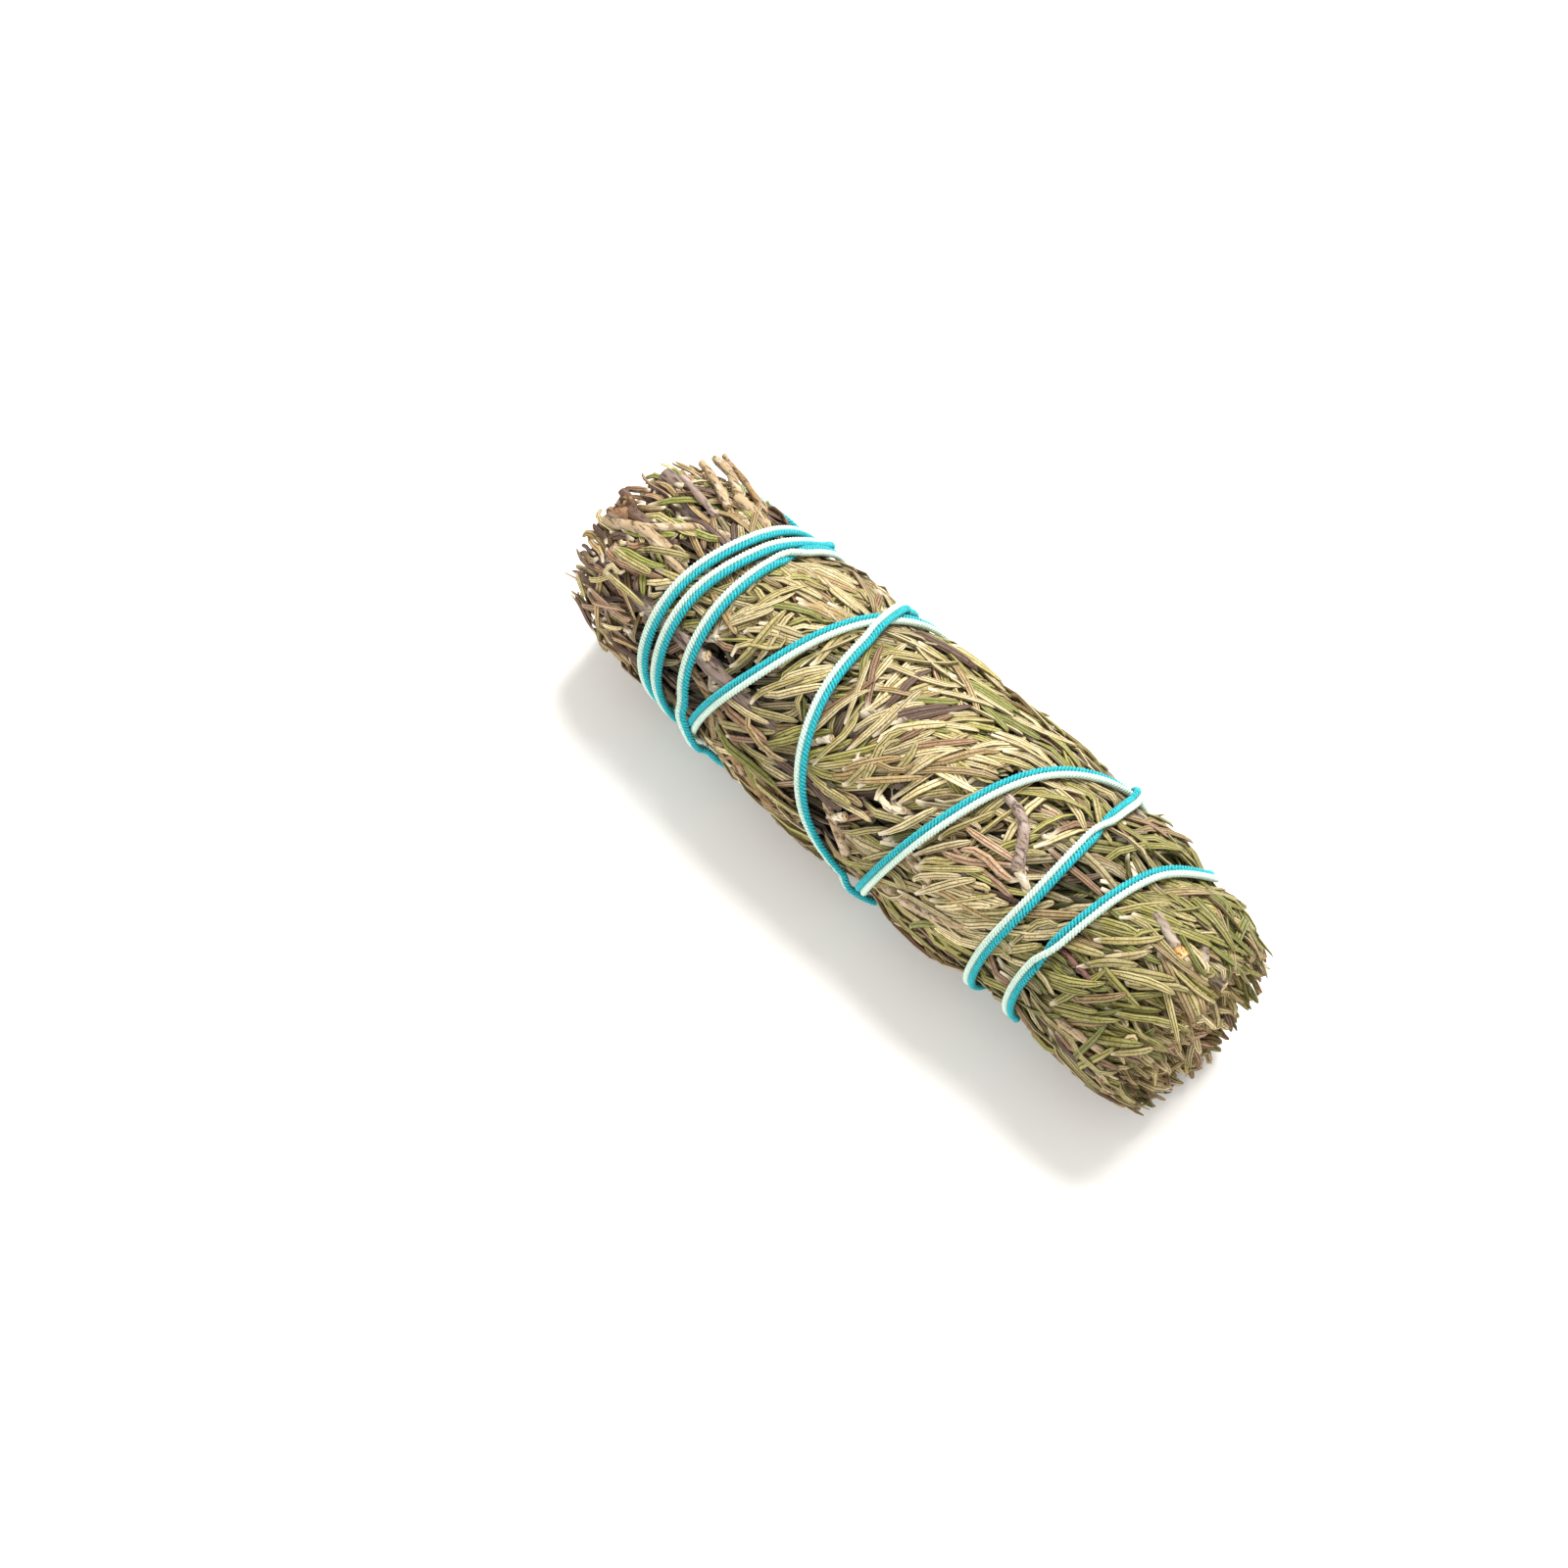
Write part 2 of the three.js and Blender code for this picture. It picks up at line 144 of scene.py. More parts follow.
swap_length = 26.0
crossing_lift = 1.06 * MM  # of a pair where it crosses over another
crossing_reach = 2.15 * MM  # how near two pairs come before they touch


def smooth(t):
    t = np.clip(t, 0, 1)
    return t * t * (3 - 2 * t)


def binding_radius(x):
    k = np.clip(np.searchsorted(waist_places, x) - 1, 0, len(waist_places) - 2)
    share = smooth((x - waist_places[k]) / (waist_places[k + 1] - waist_places[k]))
    return bundle_radius - (waist_narrowing[k] * (1 - share) + waist_narrowing[k + 1] * share)


def through(rows, along):
    """A smooth curve through a row of values or points, read at places counted in rows."""
    k = np.clip(np.floor(along).astype(int), 0, len(rows) - 2)
    t = (along - k).reshape(-1, *[1] * (rows.ndim - 1))
    p0, p1, p2, p3 = (rows[np.clip(k + i, 0, len(rows) - 1)] for i in (-1, 0, 1, 2))
    bend = (2 * p0 - 5 * p1 + 4 * p2 - p3) * t**2 + (3 * p1 - p0 - 3 * p2 + p3) * t**3
    return 0.5 * (2 * p1 + (p2 - p0) * t + bend)


def route_x(degrees):
    eighths = np.concatenate([[before_route], route_rows.ravel()])
    return through(eighths, (np.atleast_1d(degrees) - first_angle) / eighth + 1)


def surface_distance(x, degrees, other_x, other_degrees):
    """How far apart two places on the bundle are, measured over its surface."""
    round_way = np.abs((degrees - other_degrees + 180) % 360 - 180)
    return np.hypot(x - other_x, np.radians(round_way) * bundle_radius)


def axis_point(x):
    """The middle of the bundle at a place along it: the tip end bends a little to one side."""
    aside = -1.7 * MM * smooth((x - 36 * MM) / (26 * MM))
    return np.stack([x, aside, axis_height + 0 * x], -1)


def round_axis(x, radius, degrees):
    a = np.radians(degrees)
    across = radius * np.cos(a) + 0 * x
    return axis_point(x + 0 * across) + np.stack([0 * across, across, radius * np.sin(a) + 0 * x], -1)


def unit(v):
    return v / np.maximum(np.linalg.norm(v, axis=-1, keepdims=True), 1e-12)


def climb(degrees):
    """How far an outgoing turn rises where it crosses a returning one."""
    turn_back = first_angle + 360 * turns_out - eighth / 2
    returning = np.arange(turn_back + 2 * eighth, route_end, 3.0)
    under = route_x(returning)
    x = route_x(degrees)
    nearest = np.array([
        surface_distance(xi, di, under, returning).min() for xi, di in zip(x, degrees)
    ])
    share = (crossing_reach + 1.5 * MM - nearest) / (1.5 * MM)
    return np.where(degrees > turn_back, 0, crossing_lift * smooth(share))


def outward(points):
    """The direction away from the bundle's middle at each point."""
    return unit(points - axis_point(points[..., 0]))


def rows_along(points):
    """Each point's distance along a row of points, and the direction there."""
    steps = np.linalg.norm(np.diff(points, axis=0), axis=1)
    return np.concatenate([[0], np.cumsum(steps)]), unit(np.gradient(points, axis=0))


def pair_frames(degrees):
    """The pair's middle along its route, the outward and sideways directions, and its change of sides."""
    x = route_x(degrees)
    coarse = np.arange(route_start, route_end + 3, 3.0)
    lift = np.interp(degrees, coarse, climb(coarse))
    middle = round_axis(x, binding_radius(x) + lift, degrees)
    middle[:, 2] = np.maximum(middle[:, 2], lowest_thread)
    _, ahead = rows_along(middle)
    out = middle - axis_point(x)
    out = unit(out - ahead * (out * ahead).sum(-1, keepdims=True))
    turned = sum(smooth((degrees - swap) / swap_length + 0.5) for swap in side_swaps) * math.pi
    return middle, out, np.cross(out, ahead), turned


def path_object(name, runs, values):
    """A mesh of open runs of points, joined in order, with a value of each kind at every point."""
    mesh = bpy.data.meshes.new(name)
    points = np.concatenate([np.asarray(run) for run in runs])
    ends = np.cumsum([len(run) for run in runs])
    inside = np.ones(len(points), bool)
    inside[ends - 1] = False
    first = np.flatnonzero(inside)
    mesh.vertices.add(len(points))
    mesh.vertices.foreach_set("co", points.astype(np.float32).ravel())
    mesh.edges.add(len(first))
    mesh.edges.foreach_set("vertices", np.stack([first, first + 1], 1).astype(np.int32).ravel())
    for key, value in values.items():
        value = np.asarray(value, np.float32)
        kind = {1: "FLOAT", 3: "FLOAT_VECTOR", 4: "FLOAT_COLOR"}[value.shape[1] if value.ndim > 1 else 1]
        field = {"FLOAT": "value", "FLOAT_VECTOR": "vector", "FLOAT_COLOR": "color"}[kind]
        mesh.attributes.new(key, kind, "POINT").data.foreach_set(field, value.ravel())
    made = bpy.data.objects.new(name, mesh)
    bpy.context.collection.objects.link(made)
    return made


def sweep_tree():
    """Geometry Nodes that sweep a lobed or grooved section along every run of points in a mesh."""
    tree = bpy.data.node_groups.new("swept_section", "GeometryNodeTree")
    tree.interface.new_socket("Runs", in_out="INPUT", socket_type="NodeSocketGeometry")
    tree.interface.new_socket("Sides", in_out="INPUT", socket_type="NodeSocketInt")
    for socket in ("Width", "Thickness", "Lobes", "Lobe depth", "Groove", "Bark height", "Bark size"):
        tree.interface.new_socket(socket, in_out="INPUT", socket_type="NodeSocketFloat")
    tree.interface.new_socket("Finish", in_out="INPUT", socket_type="NodeSocketMaterial")
    tree.interface.new_socket("Swept", in_out="OUTPUT", socket_type="NodeSocketGeometry")
    nodes, links = tree.nodes, tree.links
    given = nodes.new("NodeGroupInput").outputs

    def node(kind, *inputs, **settings):
        made = nodes.new(kind)
        for key, value in settings.items():
            setattr(made, key, value)
        for index, value in enumerate(inputs):
            if isinstance(value, bpy.types.NodeSocket):
                links.new(value, made.inputs[index])
            elif value is not None:
                made.inputs[index].default_value = value
        return made.outputs[0]

    def sums(operation, *inputs):
        return node("ShaderNodeMath", *inputs, operation=operation)

    circle = nodes.new("GeometryNodeCurvePrimitiveCircle")
    links.new(given["Sides"], circle.inputs["Resolution"])
    circle.inputs["Radius"].default_value = 1.0
    spot = nodes.new("ShaderNodeSeparateXYZ")
    links.new(node("GeometryNodeInputPosition"), spot.inputs[0])
    across, out = spot.outputs[0], spot.outputs[1]
    section = node("GeometryNodeStoreNamedAttribute", circle.outputs[0], None, "section_across", across)
    section = node("GeometryNodeStoreNamedAttribute", section, None, "section_out", out)
    round_angle = sums("ARCTAN2", out, across)
    ripple = sums("COSINE", sums("MULTIPLY", round_angle, given["Lobes"]))
    section = node("GeometryNodeStoreNamedAttribute", section, None, "section_lobe", ripple)
    swell = sums("MULTIPLY_ADD", ripple, given["Lobe depth"], 1.0)
    hollow = sums("MULTIPLY", sums("POWER", sums("ABSOLUTE", out), 4.0), given["Groove"])
    wide = sums("MULTIPLY", sums("MULTIPLY", across, swell), sums("MULTIPLY", given["Width"], 0.5))
    thick = sums("MULTIPLY", sums("MULTIPLY", out, swell), sums("MULTIPLY", given["Thickness"], 0.5))
    thick = sums("MULTIPLY", thick, sums("SUBTRACT", 1.0, hollow))
    section = node("GeometryNodeSetPosition", section, None, node("ShaderNodeCombineXYZ", thick, wide, 0.0))

    facing = node("GeometryNodeInputNamedAttribute", "facing", data_type="FLOAT_VECTOR")
    breadth = node("GeometryNodeInputNamedAttribute", "breadth", data_type="FLOAT")
    runs = node("GeometryNodeMeshToCurve", given["Runs"])
    runs = node("GeometryNodeSetCurveNormal", runs, None, facing, mode="FREE")
    swept = node("GeometryNodeCurveToMesh", runs, section, breadth, True)
    swept = node("GeometryNodeFlipFaces", swept)
    bark = nodes.new("ShaderNodeTexNoise")
    links.new(given["Bark size"], bark.inputs["Scale"])
    bark.inputs["Detail"].default_value = 3.0
    rough = sums("MULTIPLY", sums("SUBTRACT", bark.outputs[0], 0.5), given["Bark height"])
    offset = nodes.new("ShaderNodeVectorMath")
    offset.operation = "SCALE"
    links.new(node("GeometryNodeInputNormal"), offset.inputs[0])
    links.new(rough, offset.inputs["Scale"])
    swept = node("GeometryNodeSetPosition", swept, None, None, offset.outputs[0])
    swept = node("GeometryNodeSetShadeSmooth", swept)
    swept = node("GeometryNodeRealizeInstances", swept)
    swept = node("GeometryNodeSetMaterial", swept, None, given["Finish"])
    links.new(swept, nodes.new("NodeGroupOutput").inputs[0])
    return tree


section_sweep = sweep_tree()


def swept(name, runs, values, finish, **sizes):
    """A plain mesh made by sweeping a section along runs of points."""
    drawn = path_object(name + "_runs", runs, values)
    modifier = drawn.modifiers.new("sweep", "NODES")
    modifier.node_group = section_sweep
    sizes = {"Lobes": 3.0, "Lobe depth": 0.0, "Groove": 0.0, "Bark height": 0.0, "Bark size": 1.0, **sizes}
    for socket in section_sweep.interface.items_tree:
        if socket.in_out == "INPUT" and socket.name in sizes:
            modifier[socket.identifier] = sizes[socket.name]
        if socket.name == "Finish":
            modifier[socket.identifier] = finish
    evaluated = drawn.evaluated_get(bpy.context.evaluated_depsgraph_get())
    mesh = bpy.data.meshes.new_from_object(evaluated)
    mesh.name = name
    made = bpy.data.objects.new(name, mesh)
    bpy.context.collection.objects.link(made)
    drawn.modifiers.remove(modifier)
    bpy.data.objects.remove(drawn)
    return made


def linear(red, green, blue):
    """A colour given in everyday 0 to 255 steps, as the shader's linear numbers."""
    return tuple(((c / 255 + 0.055) / 1.055) ** 2.4 if c > 10 else c / 3295 for c in (red, green, blue))


def painted(name):
    """An empty material, with short ways to add its nodes and to join them."""
    finish = bpy.data.materials.new(name)
    finish.use_nodes = True
    nodes, links = finish.node_tree.nodes, finish.node_tree.links

    def node(kind, inputs=None, output=0, **settings):
        made = nodes.new(kind)
        for key, value in settings.items():
            setattr(made, key, value)
        for key, value in (inputs or {}).items():
            if isinstance(value, bpy.types.NodeSocket):
                links.new(value, made.inputs[key])
            else:
                made.inputs[key].default_value = value
        return made.outputs[output]

    return finish, node, nodes["Principled BSDF"]


def reading(node, attribute, output="Fac"):
    return node("ShaderNodeAttribute", output=output, attribute_name=attribute)


def mixed(node, share, first, second, blend="MIX"):
    """Two colours or colour sockets mixed by a share."""
    return node(
        "ShaderNodeMix",
        {0: share, 6: first, 7: second},
        output=2,
        data_type="RGBA",
        blend_type=blend,
    )


def ramp(node, value, low, high, to_low=0.0, to_high=1.0):
    return node(
        "ShaderNodeMapRange",
        {"Value": value, 1: low, 2: high, 3: to_low, 4: to_high},
        interpolation_type="SMOOTHSTEP",
    )


def cotton(name, colour, painted_shading_and_tone, sheen_colour):
    """Twisted cotton: darker between its plies with painted shade, pale in patches of fuzz and painted
    highlight, and with fine fibres that wind along each ply.
    """
    finish, node, shader = painted(name)
    lobe = reading(node, "section_lobe")
    fuzz_and_painted_highlight = node("ShaderNodeTexNoise", {"Scale": 260.0, "Detail": 3.0})
    fibre = node("ShaderNodeTexNoise", {"Scale": 5200.0, "Detail": 2.0, "Roughness": 0.7})
    # Painted shade: the colour darkens in the grooves between the plies.
    body = mixed(node, ramp(node, lobe, -0.9, 0.5), (*painted_shading_and_tone, 1), (*colour, 1))
    lighter = tuple(min(1.0, c * 1.5 + 0.07) for c in colour)
    # The pale patches are partly fuzz and partly painted highlight.
    body = mixed(node, ramp(node, fuzz_and_painted_highlight, 0.42, 0.68, 0.0, 0.6), body, (*lighter, 1))
    body = mixed(node, ramp(node, fibre, 0.35, 0.7, 0.0, 0.35), body, (*painted_shading_and_tone, 1))
    shader_links = finish.node_tree.links
    shader_links.new(body, shader.inputs["Base Color"])
    shader.inputs["Roughness"].default_value = 0.82
    shader.inputs["Specular IOR Level"].default_value = 0.25
    shader.inputs["Sheen Weight"].default_value = 0.25
    shader.inputs["Sheen Tint"].default_value = (*sheen_colour, 1)
    bump = node("ShaderNodeBump", {"Strength": 0.5, "Distance": 0.00008, "Height": fibre})
    shader_links.new(bump, shader.inputs["Normal"])
    return finish


# Each thread: its colour, the colour of its painted shade between the plies, and its sheen.
turquoise_cotton = cotton(
    "turquoise_cotton", linear(16, 174, 184), linear(2, 84, 96), linear(180, 236, 238)
)
mint_cotton = cotton("mint_cotton", linear(203, 227, 210), linear(152, 188, 168), (1, 1, 1))

ply_pitch = 1.8 * MM
rings_per_pitch = 8


def yarn(name, centre, out, across, finish, fibres=()):
    """A three-ply thread along a row of points: the section turns once in each pitch."""
    distance, _ = rows_along(centre)
    turn = (2 * math.pi * distance / ply_pitch)[:, None]
    facing = [out * np.cos(turn) + across * np.sin(turn)]
    breadth = [np.ones(len(centre))]
    for fibre in fibres:
        facing.append(np.tile(out[-1], (len(fibre), 1)))
        breadth.append(np.linspace(0.3, 0.1, len(fibre)))
    values = {"facing": np.concatenate(facing), "breadth": np.concatenate(breadth)}
    return swept(
        name, [centre, *fibres], values, finish,
        Sides=12, Width=thread_diameter, Thickness=thread_diameter, Lobes=3.0, **{"Lobe depth": 0.13},
    )


route_length = 0.97
route_degrees = np.linspace(route_start, route_end, int(route_length / ply_pitch * rings_per_pitch))
pair_middle, pair_out, pair_across, pair_turned = pair_frames(route_degrees)
thread_lines = {}
for sign, name, finish in ((1, "turquoise", turquoise_cotton), (-1, "white", mint_cotton)):
    sideways = sign * pair_spacing / 2
    centre = (
        pair_middle
        + pair_across * (sideways * np.cos(pair_turned))[:, None]
        + pair_out * (sideways * np.sin(pair_turned))[:, None]
    )
    thread_lines[name] = centre
    wound = yarn(f"{name}_thread_wound", centre, pair_out, pair_across, finish)
    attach(wound, "root")
    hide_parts(f"{name}_thread")

# ---- The knot and the tails ----
# The two ends of each thread meet in the knot. One end is looped through itself over the other, which
# passes beneath the loop, and the four tails come out of it towards the cut stems. Their ends fray.
knot_x, knot_degrees = -39.6 * MM, 352.0
tail_lift = 0.95 * MM
tails = {
    "turquoise_tail_a": [(-40.8, 1.5), (-42.8, 6.5), (-46.4, 9.5), (-50.5, 7.0), (-54.5, 8.5)],
    "white_tail_a": [(-42.6, -3.0), (-45.6, 1.5), (-49.5, 1.0), (-52.0, -2.5)],
    "turquoise_tail_b": [(-42.6, -12.5), (-46.5, -16.5), (-50.5, -14.0), (-55.0, -19.0)],
    "white_tail_b": [(-40.8, -17.5), (-43.6, -24.0), (-47.0, -29.5), (-51.0, -29.0)],
}
fraying = np.random.default_rng(7)


def knot_point(along, round_way, out):
    """A point near the knot, from millimetres along the bundle, round it and out from the binding."""
    x = knot_x + along * MM
    radius = binding_radius(x) + out * MM
    return round_axis(x, radius, knot_degrees + np.degrees(round_way * MM / bundle_radius))


def overhand(turned, height, size):
    """The loop of an overhand knot, open at the lobe that faces up the bundle's side."""
    t = np.linspace(math.pi / 3 + 0.45, 7 * math.pi / 3 - 0.45, 26)
    a, b = np.sin(t) + 2 * np.sin(2 * t), np.cos(t) - 2 * np.cos(2 * t)
    turn = math.radians(turned)
    along = size * (a * math.cos(turn) - b * math.sin(turn))
    round_way = size * (a * math.sin(turn) + b * math.cos(turn))
    return knot_point(along, round_way, height - 0.56 * np.sin(3 * t))


def even_run(corners):
    """Evenly spaced points along a smooth curve through corners."""
    fine = through(np.asarray(corners), np.linspace(0, len(corners) - 1, 30 * len(corners)))
    distance, _ = rows_along(fine)
    places = np.linspace(0, distance[-1], int(distance[-1] / ply_pitch * rings_per_pitch))
    return np.stack([np.interp(places, distance, fine[:, k]) for k in range(3)], 1)


loops = {"turquoise": overhand(50, 1.05, 0.70), "white": overhand(78, 2.35, 0.74)}
passes = {
    "turquoise": [(-0.2, -2.0, 0.1), (0.9, -0.7, -0.1), (0.4, 0.9, -0.1), (-1.5, 0.7, 0.1)],
    "white": [(-1.2, -2.3, 0.1), (-0.5, -1.0, -0.1), (-1.6, 0.2, 0.1), (-2.4, -1.2, 0.4)],
}
for tail, places in tails.items():
    name = tail.split("_")[0]
    wound = thread_lines[name]
    lying = [round_axis(x * MM, binding_radius(x * MM) + tail_lift, degrees) for x, degrees in places]
    if tail.endswith("a"):
        loop = loops[name] if loops[name][0][0] > loops[name][-1][0] else loops[name][::-1]
        corners = [wound[0], *loop, *lying]
    else:
        corners = [wound[-1], *[knot_point(*place) for place in passes[name]], *lying]
    strand = even_run(corners)
    _, ahead = rows_along(strand)
    out = outward(strand)
    out = unit(out - ahead * (out * ahead).sum(-1, keepdims=True))
    frayed = []
    for _ in range(9):
        way = ahead[-1] + fraying.normal(0, 0.35, 3)
        bend = fraying.normal(0, 0.3, 3)
        reach = np.linspace(0, fraying.uniform(0.9, 2.2) * MM, 5)[:, None]
        root = strand[-1] + fraying.normal(0, 0.16 * MM, 3)
        frayed.append(root + reach * way + (reach**2 / MM) * 0.35 * bend)
    made = yarn(tail + "_strand", strand, out, np.cross(out, ahead),
                turquoise_cotton if name == "turquoise" else mint_cotton, frayed)
    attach(made, "root")
    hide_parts(tail, "knot")

# ---- How the sprigs grow and are packed ----
# Nineteen sprigs lie side by side: one in the middle, six round it and twelve outside. Their leaves
# fan out in bunches from the stems' nodes. Tying the bundle has pressed the fans over each other, flat
# under the threads and a little proud between them, so they are grown first and then settled.
bundle_reach = 62 * MM
bundle_twist = 10.0  # degrees, end to end
pith_radius, inner_radius = 3.7 * MM, 10.6 * MM
leaf_width = 1.4 * MM
leaf_thickness = 0.8 * MM
leaf_points = 9
growth = np.random.default_rng(23)

sprig_names = [f"sprig_{n:02d}" for n in range(1, 20)]
sprig_angles = [0.0] + [(i + 0.75) * 60 for i in range(6)] + [i * 30.0 for i in range(12)]
sprig_rings = [0] + [1] * 6 + [2] * 12

# Which way the outer leaves point, in degrees from the tip end's direction towards falling angles
# round the bundle. One row for each angle round it, one column for each place along it.
lean_angles = np.array([0, 30, 70, 110, 140, 170, 200, 240, 290, 330, 360])
lean_places = MM * np.array([-56, -38, -25, -6, 12, 28, 40, 55])
lean_table = np.array([
    [-10, 5, 20, -15, 0, 25, 5, -5],
    [5, 0, 5, 0, 0, 10, 5, 0],
    [10, 0, 20, 5, 5, 25, 20, -12],
    [15, 10, 64, 76, 52, 42, 45, -18],
    [-10, 80, 48, 70, 48, 38, 50, 14],
    [0, 50, 4, -8, 12, 22, 18, 16],
    [-5, 0, 0, -8, 4, 0, 0, 5],
    [10, -20, 25, 35, -20, 10, -25, 10],
    [-15, 20, -30, 10, 30, -25, 20, -10],
    [10, -25, 10, -35, -10, 30, -20, 10],
    [-10, 5, 20, -15, 0, 25, 5, -5],
])


def looked_up(table, rows, columns, row, column):
    """A value between the entries of a table."""
    i = np.clip(np.searchsorted(rows, row, side="right") - 1, 0, len(rows) - 2)
    j = np.clip(np.searchsorted(columns, column, side="right") - 1, 0, len(columns) - 2)
    u = np.clip((row - rows[i]) / (rows[i + 1] - rows[i]), 0, 1)
    v = np.clip((column - columns[j]) / (columns[j + 1] - columns[j]), 0, 1)
    low = table[i, j] * (1 - v) + table[i, j + 1] * v
    high = table[i + 1, j] * (1 - v) + table[i + 1, j + 1] * v
    return low * (1 - u) + high * u


# How far out a leaf's middle line may lie: under the threads, and proud of them in between.
press_angles = np.arange(0, 364, 3.0)
press_places = MM * np.arange(-70, 71, 0.8)
route_samples = np.arange(route_start, route_end, 2.0)
route_places = route_x(route_samples)
press_grid = np.array([
    [surface_distance(x, angle, route_places, route_samples).min() for x in press_places]
    for angle in press_angles
])
under_thread = 1.1 * MM
proud_between = 0.1 * MM


def ceiling(x, degrees, lift=0.0):
    """How far from the bundle's middle a leaf may lie at a place."""
    gap = looked_up(press_grid, press_angles, press_places, degrees % 360, x)
    share = smooth((gap - 1.2 * MM) / (3.6 * MM))
    rounding = 1.6 * MM * smooth((-x - 50 * MM) / (12 * MM))
    return binding_radius(x) - under_thread + (under_thread + proud_between + lift) * share - rounding


def angle_and_radius(points):
    away = points - axis_point(points[..., 0])
    return np.degrees(np.arctan2(away[..., 2], away[..., 1])) % 360, np.hypot(away[..., 1], away[..., 2])


def on_bundle(x, degrees, depth):
    """A point so far beneath the highest place that a leaf's middle line may lie."""
    x, degrees = np.atleast_1d(x), np.atleast_1d(degrees)
    return round_axis(x, np.maximum(ceiling(x, degrees) - depth, 1.5 * MM), degrees)


def sprig_at(degrees, radius):
    """The sprig whose share of the bundle a place is in."""
    if radius < pith_radius:
        return 0
    if radius < inner_radius:
        return 1 + int((degrees / 60 - 0.25) % 6)
    return 7 + int(((degrees + 15) % 360) // 30)


t_line = np.linspace(0, 1, leaf_points)
leaves = {"line": [], "sprig": [], "layer": [], "stray": [], "dead": [], "reach": [], "colour": []}


def add_leaf(line, sprig, layer, stray=0.0, dead=0.0, reach=bundle_reach, colour=""):
    """Keeps a leaf's middle line, and how it lies: reach is how far along X its tip may come."""
    for key, value in zip(leaves, (line, sprig, layer, stray, dead, reach, colour)):
        leaves[key].append(value)


def lay_leaf(sprig, x, degrees, lean, length, layer, base_depth, bend, **how):
    """A leaf that lies on the bundle, from a base inside it: lean is its direction on the surface."""
    course = np.radians(lean) + bend * (t_line - 0.4)
    step = length / (leaf_points - 1)
    xs = x + np.concatenate([[0], np.cumsum(np.cos(course[1:]) * step)])
    arcs = np.concatenate([[0], np.cumsum(np.sin(course[1:]) * step)])
    angles = degrees - np.degrees(arcs / binding_radius(np.clip(xs, -bundle_reach, bundle_reach)))
    depth = layer + (base_depth - layer) * (1 - smooth(t_line / 0.32))
    add_leaf(on_bundle(xs, angles, depth), sprig, layer, **how)


def stand_leaf(sprig, base, stem_way, side_way, opening, length, layer, **how):
    """A leaf that stands off its stem, bending back towards it."""
    angles = np.radians(opening) * (1 - 0.45 * t_line)
    ways = np.cos(angles)[:, None] * stem_way + np.sin(angles)[:, None] * side_way
    step = length / (leaf_points - 1)
    line = base + np.concatenate([np.zeros((1, 3)), np.cumsum(ways[1:] * step, axis=0)])
    add_leaf(line, sprig, layer, **how)


def stem_line(sprig, xs):
    """Where a sprig's woody stem runs: it wanders a little, and its cut end leans out of line."""
    ring, angle = sprig_rings[sprig], sprig_angles[sprig]
    wander = growth.uniform(0, 2 * math.pi, 4)
    leaning = smooth((-48 * MM - xs) / (12 * MM)) * growth.normal(0, 1)
    degrees = angle + bundle_twist * xs / (2 * bundle_reach)
    if ring == 2:
        depth = stem_depths[sprig] + 0.7 * MM * np.sin(xs / (11 * MM) + wander[0])
        degrees = degrees + 6 * np.sin(xs / (17 * MM) + wander[1]) + 7 * leaning
        radius = binding_radius(xs) - depth
    else:
        radius = 7.1 * MM * ring + 0.8 * MM * np.sin(xs / (14 * MM) + wander[2])
        degrees = degrees + 8 * np.sin(xs / (19 * MM) + wander[3])
    return round_axis(xs, radius + 0.9 * MM * leaning, degrees)


